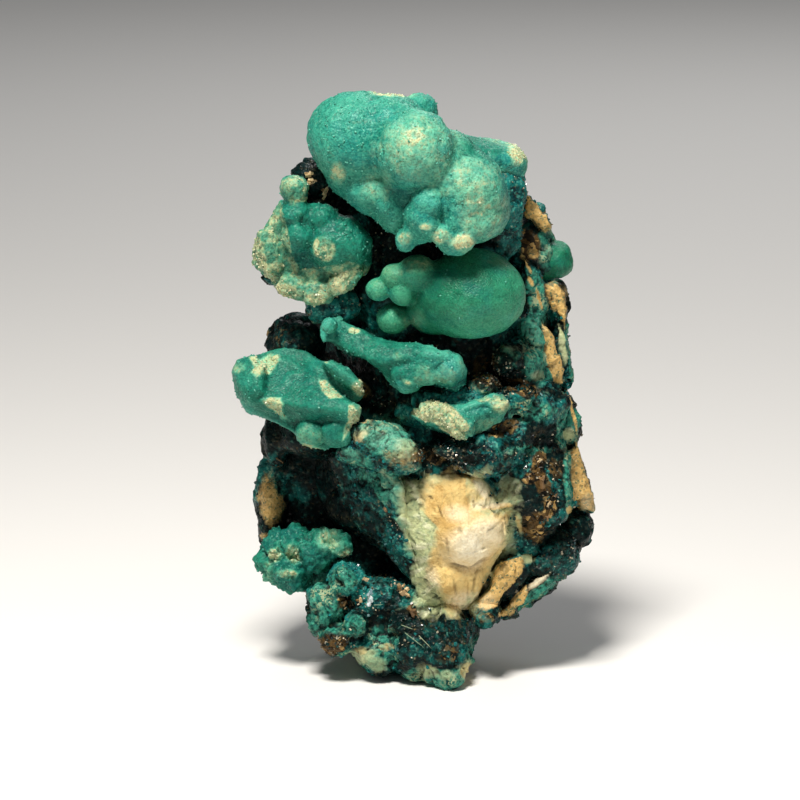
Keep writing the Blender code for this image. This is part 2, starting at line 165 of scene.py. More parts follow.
LOWER_LEDGE = forms(
    ([(-9, 14.85), (-8.8, 15.35), (-8.03, 15.6), (-7, 15.85), (-6.12, 15.95), (-5.24, 15.75), (-4.57, 15.2),
     (-4.2, 14.3), (-3.5, 13.6), (-2.75, 12.95), (-2.95, 12.1), (-3.5, 11.35), (-4.4, 10.97), (-5.24, 11.2),
     (-6.12, 11.86), (-7.29, 12.5), (-8.18, 12.78), (-8.8, 13.75)], 1, [(1.4, 0.15, -0.55),
     (2.4, 0.4, 1.6)], 1.8, (0.1, -0.45), 4.5),
    ([(-9, 14.85), (-8.8, 15.35), (-8.03, 15.6), (-7.3, 15.2), (-7.3, 13.6), (-8.2, 13.2), (-8.8, 13.9)],
     0.9, [(1, 0.3, -0.3)], 1.2, (0.2, -0.3), 2.6),
    (-4, 14.3, 0.9, 1.6, 0.8, 1.1, -28), (-3.75, 11.9, 2.4, 0.75, 0.85, 0.8, 0, 0, 2.4),
    (-5.1, 11.85, 2, 0.8, 0.7, 0.8, 0, 0, 2.4),
    # the finger
    ([(-4.6, 15.3), (-4.1, 15.4), (-3.3, 14.95), (-2.6, 14.2), (-2.55, 13.75), (-3.2, 13.9), (-4, 14.5),
     (-4.5, 15)], 1.9, [(0.8, 0, 0.2)], 1.2, (0, 0), 2.4)
)
SADDLE = forms(
    ([(-0.31, 12.6), (-0.05, 13.1), (0.65, 13.4), (1.38, 13.25), (2.26, 13.3), (3.15, 13.55), (4.03, 13.75),
     (4.5, 13.33), (4.32, 12.52), (3.74, 12.08), (3, 11.64), (2.26, 11.37), (1.38, 11.78), (0.5, 12.1)],
     2.6, [(1.1, 0.15, -0.5), (1.3, -0.25, 1.1), (1.4, -0.5, 0.2)], 1.8, (0, -0.2), 4.5),
    (1, 12.9, 3.1, 0.8, 0.45, 0.7, 0, 0, 3), (2.2, 12.2, 3.3, 0.7, 0.6, 0.7, -30, 0, 3),
    (3.9, 13.2, 2.8, 0.55, 0.5, 0.6, 0, 0, 2.4)
)
LEFT_FOOT_CRUST = forms(
    (-6.9, 5.7, -0.4, 0.75, 1.2, 1.2), (-6.2, 4.9, 0, 1.1, 0.95, 1.3), (-6, 6.3, -0.2, 0.8, 0.8, 1.1),
    (-4.9, 5.8, 0.2, 0.95, 1, 1.2), (-3.9, 6.3, 0, 0.7, 0.65, 1)
)
RIM_BUD = forms((7, 20.4, -3, 0.85, 0.95, 1.3, 20), (6.4, 19.9, -2.8, 0.6, 0.6, 1))
ROCK = {
    "core": forms(
        (0.6, 22, -3.2, 4.6, 4.4, 3.4), (0.8, 16.2, -3, 5.8, 5.8, 3.9, 0, 0, 2.5),
        (1.4, 9.6, -2, 6.4, 5.2, 4.8, 0, 0, 2.5), (-2.8, 5.8, -2.8, 2.2, 2.6, 2.4),
        (4.8, 5.4, -2.6, 2.8, 2.4, 2.6), (6.2, 14.4, -3.4, 1.7, 2.6, 2.3)
    ),
    "neck": forms(
        (2.6, 22.6, -1.2, 2.9, 3, 2.4), (4.4, 23.3, -0.4, 1, 1.9, 1.6), (0.2, 24.4, -1.6, 3.4, 1.7, 1.8),
        (5.8, 22.3, -3.4, 0.4, 1, 1.3, -32), (5.8, 20.9, -3, 1.3, 1.6, 2), (5.6, 17.6, -3.2, 1.7, 3.4, 2.4)
    ),
    "rosette_bed": forms(
        (-4.2, 21.4, -1.6, 2.6, 2.9, 2.2), (-5.2, 24.4, -0.6, 0.95, 0.95, 1.2),
        (-4.1, 18.1, 0, 1.5, 0.9, 1.4), (-6.5, 19.5, -0.9, 1.2, 0.6, 1)
    ),
    "right_rim": forms(
        (7, 18.1, -3.4, 0.6, 1.4, 1.7),
        ([(5.36, 23.1), (5.47, 23.6), (5.9, 23.3), (6.45, 22.6), (6.8, 21.85), (6.4, 21.7), (5.9, 22.1),
         (5.4, 22.6)], -2, [(0.4, 0, 0)], 1.6),
        ([(6.35, 19.15), (7, 19.25), (7.5, 18.75), (7.5, 17.9), (7.6, 16.9), (7.1, 17.4), (6.6, 18.2)],
         -1.9, [(0.55, -0.2, 0)], 1.8),
        ([(6.3, 17.2), (6.75, 16.75), (7.05, 15.8), (7.45, 14.9), (7.35, 14.15), (6.9, 14.25), (6.45, 15.3),
         (6.35, 16.3)], -0.9, [(0.45, -0.15, 0)], 1.6),
        ([(7, 17.2), (7.6, 16.9), (7.8, 15.6), (7.9, 14.2), (7.6, 14.1), (7.3, 15), (6.9, 16.2)], -1.6,
         [(0.5, -0.2, 0)], 1.8),
        ([(7.5, 14.2), (7.8, 13.4), (8.3, 12.6), (8.35, 11.8), (8.05, 11.2), (7.2, 11), (6.8, 11.8),
         (6.9, 12.9)], -1.5, [(0.7, -0.3, 0)], 2),
        ([(7.3, 11), (7.78, 10.9), (7.9, 8), (7.45, 7.7), (7.2, 9)], -0.9, [(0.5, 0.2, 0)], 2),
        ([(8.04, 11.3), (7.72, 10.9), (7.8, 9.5), (7.85, 8.4), (8.2, 7.95), (8.9, 7.8), (8.88, 8.5),
         (8.6, 9.7), (8.25, 10.9)], -1.3, [(0.6, -0.25, 0)], 2.2),
        (8.15, 7.1, -2, 0.85, 0.85, 1.5, 0, 0, 2.6),
        ([(5.2, 17.3), (6.2, 17.5), (6.3, 16.4), (6.9, 14.4), (6.4, 13.9), (5.5, 14.3), (5.1, 15.6)], -0.9,
         [(0.8, -0.2, 0)], 1.6),
        ([(5.3, 20.6), (6.2, 19.9), (6.6, 18.4), (6.2, 16.9), (5.5, 17.2), (5.2, 18.8)], -1.2,
         [(0.6, -0.2, 0)], 1.6)
    ),
    "right_face": forms(
        (5.2, 15.2, -0.4, 1.3, 1.3, 1.6), (5.9, 12.8, 0.2, 1.7, 1.5, 1.7),
        (2, 12.9, 1.5, 2.9, 1.3, 1.5, 0, 0, 3), (5, 13.4, 1.4, 1, 0.8, 1.2),
        (3.4, 14.2, 1.3, 0.8, 0.6, 1.2), (4.5, 15.4, 0.8, 0.7, 0.7, 1.2), (5, 11.8, 1.5, 0.9, 0.8, 1.1),
        (2.6, 11.1, 2.4, 1.9, 0.7, 1.3, 0, 0, 3), (5.4, 9.2, 0.6, 2.2, 2.9, 2.2, 0, 0, 3),
        (3.4, 10.9, 1.8, 2, 1.3, 1.7)
    ),
    "cream_knob": forms(
        ([(-0.81, 9.5), (-0.04, 9.6), (0.92, 9.75), (2.17, 9.8), (3.33, 9.55), (3.52, 9.09), (4, 8.4),
         (4.6, 8.05), (4.58, 6.4), (4.19, 5.82), (3.81, 5.25), (3.52, 4.48), (3.04, 3.71), (2.56, 3.1),
         (1.88, 3.1), (1.12, 3.25), (0.44, 3.2), (0.06, 3.8), (-0.13, 4.48), (0.06, 5.15), (-0.23, 6.02),
         (-0.62, 6.78), (-0.95, 7.55), (-1.05, 8.7)], 1.8, [(1.75, 0.2, -0.15), (1.8, -0.55, 0),
         (1.9, 0, 0.35)], 2.2, (0.1, 0), 4),
        ([(0.9, 8.2), (1.8, 8.6), (3, 8.2), (4.2, 7.5), (4.3, 6.3), (3.7, 5.7), (2.9, 5.35), (2, 5.4),
         (1.4, 5.9), (1, 7)], 3, [(1, 0.1, -0.35), (1, -0.3, 0.1)], 1.4, (0, 0), 2.6),
        ([(0.7, 5.3), (1.6, 5.6), (2.9, 5.5), (3.5, 4.9), (3.3, 4.1), (2.6, 3.3), (1.9, 3.25), (1.1, 3.6),
         (0.6, 4.3)], 2.5, [(1, 0, -0.25), (0.95, -0.3, 0.4)], 1.4, (0, 0), 2.4),
        ([(3.13, 3.4), (3.7, 4.1), (3.8, 4.8), (4, 5.15), (4.5, 5.6), (5.15, 5.75), (5.44, 5.4),
         (5.44, 4.96), (4.77, 4.28), (4.38, 3.9), (4.1, 3.2), (3.3, 3)], 1.9, [(0.7, 0, 0)], 1.8,
         (-0.25, 0)),
        ([(4, 2.7), (4.38, 3.05), (4.96, 3.75), (5.5, 4.2), (5.75, 4.3), (6.6, 4.8), (6.95, 4.7),
         (6.9, 4.3), (6.1, 3.7), (5.4, 3.1), (4.9, 2.75), (4.4, 2.55)], 1.3, [(0.6, 0, 0.1)], 1.8,
         (-0.3, 0)),
        (5.6, 5.6, 0.2, 0.7, 0.5, 1, 20, 0, 3), (6.5, 5.6, -0.4, 1.7, 1.2, 2, 20, 0, 2.6),
        (4.5, 4.4, 0.6, 1.9, 0.95, 1.7, 48)
    ),
    "shoulder": forms(
        ([(-3.9, 10.9), (-3.3, 11.3), (-2.6, 11.95), (-1.9, 12.4), (-1, 12.2), (-0.2, 11.6), (0.3, 10.9),
         (0.2, 10.1), (-0.8, 9.8), (-1.8, 9.9), (-2.8, 10.1), (-3.6, 10.4)], 2.5, [(1.2, 0.1, -0.5),
         (1.2, 0.2, 0.7)], 1.8, (0.1, -0.2)),
        ([(-4.15, 10.8), (-3, 10.8), (-1.5, 10.2), (-0.6, 9.4), (-0.4, 8), (-0.1, 6.5), (0.4, 5),
         (0.3, 4.2), (-0.6, 4.9), (-1.3, 5.8), (-1.9, 6.5), (-2.9, 7), (-3.4, 8.2), (-3.8, 9.3)], 1.3,
         [(0.9, 0.2, 0.15), (1.1, 0.5, -0.1)], 2.2, (0.5, 0.15), 3.5),
        (-2.4, 11.6, 2.9, 0.7, 0.8, 0.8, 0, 0, 2.4)
    ),
    "left_wall": forms(
        (-5.2, 9.6, -4.2, 2.4, 4.4, 1.7, 0, 0, 3), (-7.3, 8.2, -3.2, 0.8, 2.4, 1.5),
        (-6.9, 11.6, -2.6, 0.75, 1.8, 1.5), (-5, 12.6, -1.8, 2.3, 2.2, 2.2),
        (-6, 16.3, -1.8, 1.5, 1.45, 1.9), (-5, 5.4, -1.7, 2.4, 1.7, 1.9)
    ),
    "foot": forms(
        (-4.4, 3.2, 1.6, 1, 1.4, 1.5), (-4.6, 2.5, 1.6, 0.85, 0.9, 1.2), (-3.4, 4.5, 1.6, 1, 0.95, 1.3),
        (-3.8, 1.6, 2.4, 1, 1, 1.2), (-2.9, 2.3, 3, 0.7, 0.7, 0.9), (-1.9, 1.3, 1.6, 1.5, 1.6, 1.8),
        (-1.9, 3.2, 1.2, 1.7, 1.6, 1.6), (0.4, 1.2, 2.2, 1.9, 1.9, 1.9), (1.9, 1.4, 2.4, 1.1, 2, 1.9, 12),
        (1.3, 0.9, 3, 1.2, 1.4, 1.5), (1.5, 0, 3.5, 1, 1.1, 1.1), (3.5, 2.9, 2, 0.8, 0.8, 1.3),
        (-0.5, 2.3, -1.8, 3.7, 3.6, 4.4, 0, 0, 3), (1.7, 2.4, -2.6, 1.7, 2.9, 3, 0, 0, 3)
    ),
    "back": forms(
        (2.3, 23.6, -5, 2.2, 1.9, 1.7, 0, 0, 3), (-2.4, 21.6, -5, 2.2, 2.5, 1.8, 20, 0, 3),
        (3.6, 19.6, -5.4, 2.3, 2.2, 1.6, -15, 0, 3), (-0.4, 18.2, -6, 2.4, 1.9, 1.4, 10, 0, 3),
        (-3.9, 16.6, -4.8, 1.8, 2.4, 1.9, 0, 0, 3), (4.8, 15.2, -5.2, 2.1, 2.4, 1.7, 8, 0, 3),
        (0.8, 14.2, -6.1, 2.6, 1.9, 1.3, -20, 0, 3), (-3.2, 12.6, -5.6, 2.2, 1.8, 1.6, 15, 0, 3),
        (5.8, 11.2, -5, 1.9, 2.2, 1.9, 0, 0, 3), (1.9, 10.4, -6.2, 2.4, 1.8, 1.4, 25, 0, 3),
        (-2, 8.4, -5.8, 2.3, 2.2, 1.6, -12, 0, 3), (4.4, 7.2, -5.3, 2.4, 1.6, 1.7, 10, 0, 3),
        (-4.8, 6.6, -4.6, 2, 1.8, 1.7, 0, 0, 3), (1, 5.4, -5.4, 2.6, 1.5, 1.6, -8, 0, 3)
    ),
}
# Where each colour lies on the rock's seen face.
CREAM_SPOTS = spots(
    # the knob
    ([(0.2, 8.9), (0.75, 9.45), (1.9, 9.65), (2.45, 9.5), (2.45, 8.8), (2.95, 8.1), (3.5, 7.7), (4.45, 7.8),
     (4.55, 6.4), (4.1, 5.8), (3.8, 5.2), (3.5, 4.4), (3, 3.7), (2.5, 3.05), (1.85, 3.1), (1.4, 3.6),
     (0.7, 4.4), (0.7, 5.6), (1, 6.3), (1.2, 7.1), (0.8, 7.5), (0.3, 8)],),
    (2.9, 8.6, 0.9, 0.8, 20, 0.65, 0.6), (2.7, 9.5, 0.5, 0.1, -40, 0.9, 0.5),
    (3.2, 9.1, 0.22, 0.75, 28, 0.75), (3.85, 8.15, 0.9, 0.14, 8, 0.9), (5.1, 7.3, 0.12, 0.5, 15, 0.6),
    # bright points on the rock
    (-0.75, 10.5, 0.7, 0.4, -10, 0.35, 0.8), (-2.6, 11.7, 0.15, 0.55, -35, 0.4, 0.5),
    (-1.45, 1.2, 0.35, 0.2, 10, 0.4), (-2.7, 1, 0.3, 0.2, 0, 0.5), (2.5, 0.1, 0.5, 0.35, 30, 0.5),
    (6.15, 4.45, 0.7, 0.14, 38, 0.6, 0.5), (7.6, 7.95, 0.25, 0.25, 0, 0.8)
)
# A paler, greener band where the knob's cream thins out over the crust.
HALO_SPOTS = spots(
    ([(-1.1, 9.5), (0.5, 9.8), (3.3, 9.7), (3.7, 9), (4.7, 8.3), (4.8, 6.4), (3, 3), (0.5, 3.1), (0, 3.8),
     (0, 5), (-0.3, 6.2), (-1, 7.5)], 1, 0.2),
    (-0.4, 10.9, 0.8, 0.5, -25, 0.55, 0.7), (-2.6, 11.8, 0.3, 0.6, -45, 0.4, 0.6),
    (-2.7, 0.75, 0.75, 0.45, 10, 0.6, 0.5), (-1.9, 0.4, 0.5, 0.35, 0, 0.5, 0.5),
    (0.7, 0.05, 0.55, 0.35, -15, 0.7, 0.5), (1.5, -0.1, 0.5, 0.3, 10, 0.55, 0.5),
    (2.4, 0.1, 0.5, 0.45, 30, 0.7, 0.5), (4.2, 15.6, 0.7, 0.5, 0, 0.4), (6, 14.6, 0.35, 0.3, 10, 0.5, 0.6),
    (6.45, 15.6, 0.2, 0.5, 10, 0.5, 0.6), (7.3, 16.2, 0.22, 1, 12, 0.8), (7.6, 11.7, 0.4, 0.4, 0, 0.8),
    (7, 20.9, 0.6, 0.6, 0, 0.25), (4.65, 9.2, 0.5, 0.5, 0, 0.45), (5.6, 5.55, 0.35, 0.25, 0, 0.8),
    (5.15, 7.3, 0.2, 0.6, 12, 0.8)
)
# Where the knob's cream and the teal druse are palest: partly their own pale colour, partly a painted
# highlight where they bulge towards the lamps.
WHITE_AND_HIGHLIGHT_SPOTS = spots(
    (2.7, 6.2, 1, 0.9, 0, 1, 0.8), (3.4, 6.8, 0.9, 0.8, 20, 0.8, 0.8), (2.2, 7.8, 0.6, 0.4, 0, 0.5),
    (2.5, 3.5, 0.7, 0.5, 0, 0.6), (0.7, 4.3, 0.4, 0.7, 0, 0.6), (3.6, 8.3, 0.9, 0.3, 10, 0.8, 0.6),
    (3.2, 9.1, 0.22, 0.75, 28, 0.8, 0.6), (8.55, 8.3, 0.25, 0.4, 0, 0.6),
    (6.15, 4.45, 0.7, 0.2, 38, 0.9, 0.5),
    # the teal druse
    (-1.6, 11.6, 1, 0.6, -15, 0.9), (-3.1, 11.1, 0.7, 0.5, -30, 0.7), (5.9, 16.6, 0.4, 0.6, 0, 0.4),
    (-0.75, 8.3, 0.4, 1.3, 22, 0.8), (-0.25, 6, 0.4, 1, 25, 0.6), (3.5, 3.4, 0.3, 0.4, -40, 0.5, 0.6),
    soft=0.7
)
# Where the knob's cream is stained.
STAIN_SPOTS = spots(
    (1, 8.8, 0.8, 0.6, 0, 0.8), (3, 8.3, 0.9, 0.6, 20, 0.7), (1.3, 7.9, 1, 0.7, -60),
    (2, 7.3, 0.6, 0.4, -50), (1.3, 6.6, 0.4, 0.5, 0, 0.8), (2.6, 5.1, 0.9, 0.25, 5, 0.8),
    (1.8, 3.9, 0.4, 0.4, 0, 0.9), (1, 5.4, 0.5, 0.3, 20, 0.7), (3.6, 5.6, 0.5, 0.2, 40, 0.6),
    (2.2, 9.3, 0.4, 0.3, 0, 0.5), soft=0.7
)
GOLD_SPOTS = spots(
    # the strips below the knob
    ([(3.13, 3.4), (3.7, 4.1), (3.85, 4.8), (4.05, 5.15), (4.5, 5.55), (5.1, 5.7), (5.4, 5.4), (5.4, 4.96),
     (4.75, 4.3), (4.35, 3.9), (4.05, 3.2), (3.3, 3)], 1, 0.08),
    ([(4, 2.7), (4.35, 3.05), (4.95, 3.75), (5.5, 4.2), (5.55, 3.8), (5.35, 3.3), (4.85, 2.85),
     (4.35, 2.6)], 1, 0.08),
    # the right rim
    ([(5.36, 23.1), (5.47, 23.6), (5.9, 23.3), (6.45, 22.6), (6.8, 21.85), (6.4, 21.7), (5.9, 22.1),
     (5.4, 22.6)], 1, 0.1),
    ([(6.4, 19.1), (7, 19.2), (7.5, 18.75), (7.45, 17.9), (7.55, 16.95), (7.1, 17.5), (6.65, 18.2)],),
    ([(6.3, 17.2), (6.75, 16.75), (7.05, 15.8), (7.45, 14.9), (7.35, 14.15), (6.9, 14.25), (6.45, 15.3),
     (6.35, 16.3)], 1, 0.1),
    ([(8.04, 11.3), (7.75, 10.8), (7.85, 9.5), (7.85, 8.5), (8.2, 8), (8.9, 7.85), (8.9, 8.5), (8.6, 9.7),
     (8.25, 10.9)], 1, 0.1),
    (5.5, 20.1, 0.6, 0.1, -60, 0.8), (5.72, 19.25, 0.3, 0.12, -55, 0.9, 0.3),
    (6.15, 18.35, 0.6, 0.08, -75, 0.9), (7.8, 12.9, 1.2, 0.09, -76), (5.8, 20.75, 0.25, 0.35, 30, 0.7),
    # the left recess
    ([(-7.5, 9.75), (-7.1, 9.2), (-6.5, 8.3), (-6.7, 7.4), (-7.2, 6.95), (-7.74, 7.66), (-7.9, 8.56)], 0.9),
    (-7.6, 6.6, 0.2, 0.15, 0, 0.8), (-2.6, 13.9, 0.75, 0.3, -50, 0.8), (-1.4, 13.3, 0.5, 0.15, -20, 0.5),
    (-6.4, 16.4, 0.5, 0.6, 30, 0.3)
)
TEAL_SPOTS = spots(
    (-4.4, 3.2, 0.95, 1.6, 10), (-3.6, 4.6, 0.7, 0.7), (-3, 2.3, 0.6, 0.6), (-1.6, 1.7, 0.7, 0.6),
    (-2.3, 0.6, 1.4, 0.5), (1.2, -0.3, 2.1, 0.5, 5), (2.9, 0.9, 0.4, 0.9, -10, 0.6), (-1.4, 11.5, 1.4, 1.1),
    (-3, 10.6, 1.1, 0.4, -20, 0.9), (-2, 9.5, 1, 0.35, -20, 0.8), (-0.6, 7.5, 0.28, 1.2, 25, 0.9),
    (-1.35, 9.2, 0.55, 0.9, 15), (-0.9, 8.9, 0.5, 1.2, 12), (-0.1, 6.2, 0.5, 0.7), (0.2, 3.7, 0.6, 0.7),
    (6.2, 3.8, 1.4, 0.35, 38), (7.6, 9.4, 0.32, 1.9, -2), (7.6, 12, 0.65, 1), (5.8, 16.7, 0.6, 0.9, 6),
    (6.2, 15.2, 0.9, 1.1), (7.8, 15.6, 0.25, 1.8, 6), (6, 18.4, 0.5, 1.5, 8), (5.6, 12.8, 1.2, 0.5),
    (6.8, 20.8, 0.9, 1.3), (-7, 9.3, 0.2, 0.9, 25, 0.7), (3.3, 14.4, 0.65, 0.6), (4.4, 15.5, 0.55, 0.5),
    (5.4, 10.9, 1.4, 0.25, 0, 0.6)
)
BLUE_SPOTS = spots(
    (4.8, 22.9, 1.1, 2.2), (-3.9, 17.9, 2.1, 0.8, 10), (6.4, 12.9, 0.8, 0.7), (6.9, 17.7, 0.35, 0.6),
    (-2.9, 10.2, 1.2, 0.8, -10), (-2.4, 8.6, 1.2, 1.7, 30, 0.5, 0.6), (-1, 8.6, 0.6, 1.3, 20),
    (-1.3, 6.6, 0.6, 1.5, 35, 0.5, 0.6), (4.6, 10.3, 1.1, 1.1, 0, 0.35, 0.6),
    (-3.3, 10.9, 0.7, 0.35, -15, 1, 0.3), (7.8, 6.9, 1.1, 0.7, 20, 0.5, 0.5), (-4.2, 3.6, 1, 1.4, 10),
    (-5.4, 8.8, 0.9, 0.9, 0, 0.7), (2.2, 2.2, 1.8, 0.55, 6, 0.4, 0.5), (-3.6, 4.4, 1.5, 1.2),
    (-0.9, 6.2, 0.6, 1.2, 40), (1.9, 13.7, 1.6, 0.8), (3.9, 9.3, 0.4, 0.8, 20), (4.8, 7, 0.25, 0.9),
    (5.2, 10.3, 0.5, 0.7), (4.9, 6, 1.3, 0.3, 35), (-0.2, 9.9, 0.7, 0.18, 10),
    (-2.2, 0.9, 2.2, 0.8, 0, 0.8), (1.6, 1, 1.8, 0.7, 0, 0.35), (7.3, 5.6, 1, 0.9, 30, 0.6),
    (-3.1, 10.9, 1, 0.5, -10), (-2.4, 3.9, 1.3, 0.8, 0, 0.7), (3.4, 11, 1.8, 0.5, 0, 0.35)
)
RUST_SPOTS = spots(
    (6.2, 9.4, 0.35, 0.9, 20), (5.6, 9.6, 0.4, 0.35), (6.15, 10.5, 0.35, 0.35), (6.6, 8.2, 0.3, 0.6, -15),
    (5.8, 7.2, 0.6, 0.7), (6.9, 10.1, 0.45, 0.5, 0, 0.5), (5.7, 21.1, 0.5, 0.8, 20),
    (4.9, 14.1, 1.2, 0.35, -15, 0.8), (3.4, 14.9, 0.7, 0.8, 0, 0.7), (0.6, 10.6, 0.8, 0.35, 0, 0.7),
    (4.4, 12, 0.9, 0.4, 20, 0.8), (-3.95, 1.35, 0.7, 0.6, 0, 0.9), (-3.5, 3.4, 0.4, 0.4, 0, 0.7),
    (1.6, 0.95, 0.6, 0.4, 40, 0.6), (3.3, 2.8, 0.7, 0.3, -20, 0.4)
)
# Bare dark rock: partly the rock's own green-black, partly painted shade in the deep gaps between the
# growths.
DARK_AND_SHADE_SPOTS = spots(
    (1.7, 10.7, 2.1, 0.7), (-1.6, 20.7, 0.8, 1.5), (-2, 13.2, 0.8, 0.5), (-3.9, 1.4, 0.75, 0.65),
    (-2.6, 7.2, 1, 1.2, 40, 0.5), (-1.4, 5.1, 1.2, 0.9, -20, 0.6), (-4.6, 7.6, 1.5, 1),
    (-5.3, 10.3, 1.8, 1.4, -10), (3.8, 14.8, 1.2, 1.2), (-0.3, 2.5, 0.9, 0.5, -40), (8.3, 7.1, 0.95, 0.75),
    (6.9, 10.1, 0.4, 0.7, 0, 0.7), (6.6, 6.7, 1.2, 0.6), (5, 4.25, 1.1, 0.14, 47),
    (5.6, 21.6, 0.45, 0.8, 0, 0.7), (-6.2, 16.5, 1.3, 1.2, 0, 0.8), (4.6, 14.2, 1.4, 0.35, -12, 0.8),
    (-0.6, 1, 0.35, 0.8, 0, 0.8), (7.1, 5.7, 1, 0.6, 30, 0.6), (2.3, 2, 1.2, 0.75, 5, 0.55, 0.4),
    (-1.4, 18.4, 0.7, 1.3, 0, 0.7, 0.4), (4.6, 10.4, 0.7, 0.8, 0, 0.35, 0.5)
)
# Pits and cracks in the knob's cream.
CRACK_SPOTS = spots(
    (0.76, 8.62, 0.17, 0.07, -35, 0.8), (1.2, 7.95, 0.35, 0.06, -66, 0.9), (2.2, 7, 0.08, 0.16, 20, 0.4),
    (1.6, 6.3, 0.07, 0.4, 8, 0.4), (2.15, 5.3, 0.45, 0.07, -14, 0.45, 0.6),
    (3.1, 5.45, 0.5, 0.07, 28, 0.45, 0.6), (1.9, 4.4, 0.08, 0.5, 12, 0.4), (2.9, 4.5, 0.08, 0.5, -14, 0.4),
    (3.7, 7.1, 0.3, 0.06, 30, 0.4), soft=0.5
)
# Where glitter gathers.
GLITTER_SPOTS = spots(
    (2, 10.6, 2.4, 0.6), (-2, 13.2, 0.9, 0.5), (3.8, 14.6, 1.3, 1, 0, 0.8), (5, 14, 1.3, 0.4, -10),
    (-3.9, 1.4, 0.8, 0.6), (-2.2, 3.8, 1.3, 0.9, 0, 0.8), (7.1, 5.5, 1, 0.7, 30, 0.7),
    (-1.7, 20.4, 0.7, 1, 0, 0.8), (-0.7, 6.9, 0.3, 1.6, 40, 0.8), (-3.7, 18, 1.5, 0.5, 10, 0.6),
    (6.2, 8.9, 0.8, 1.8, 0, 0.6), (0, 2, 1.2, 1, -40, 0.3), (4.9, 23.2, 0.5, 1.6, 0, 0.4), soft=0.5
)
# Each of the rock's masks: its spots, how ragged their edges are, and the salt of that noise.
ROCK_SPOTS = {
    "cream": (CREAM_SPOTS, 0.3, 51),
    "gold": (GOLD_SPOTS, 0.25, 56),
    "halo": (HALO_SPOTS, 0.4, 57),
    "teal": (TEAL_SPOTS, 0.45, 52),
    "blue": (BLUE_SPOTS, 0.5, 53),
    "rust": (RUST_SPOTS, 0.4, 54),
    "dark": (DARK_AND_SHADE_SPOTS, 0.4, 55),
    "white_and_highlight": (WHITE_AND_HIGHLIGHT_SPOTS, 0.5, 58),
    "stain": (STAIN_SPOTS, 0.6, 59),
    "crack": (CRACK_SPOTS, 0.5, 65),
    "glitter": (GLITTER_SPOTS, 0.6, 60),
}
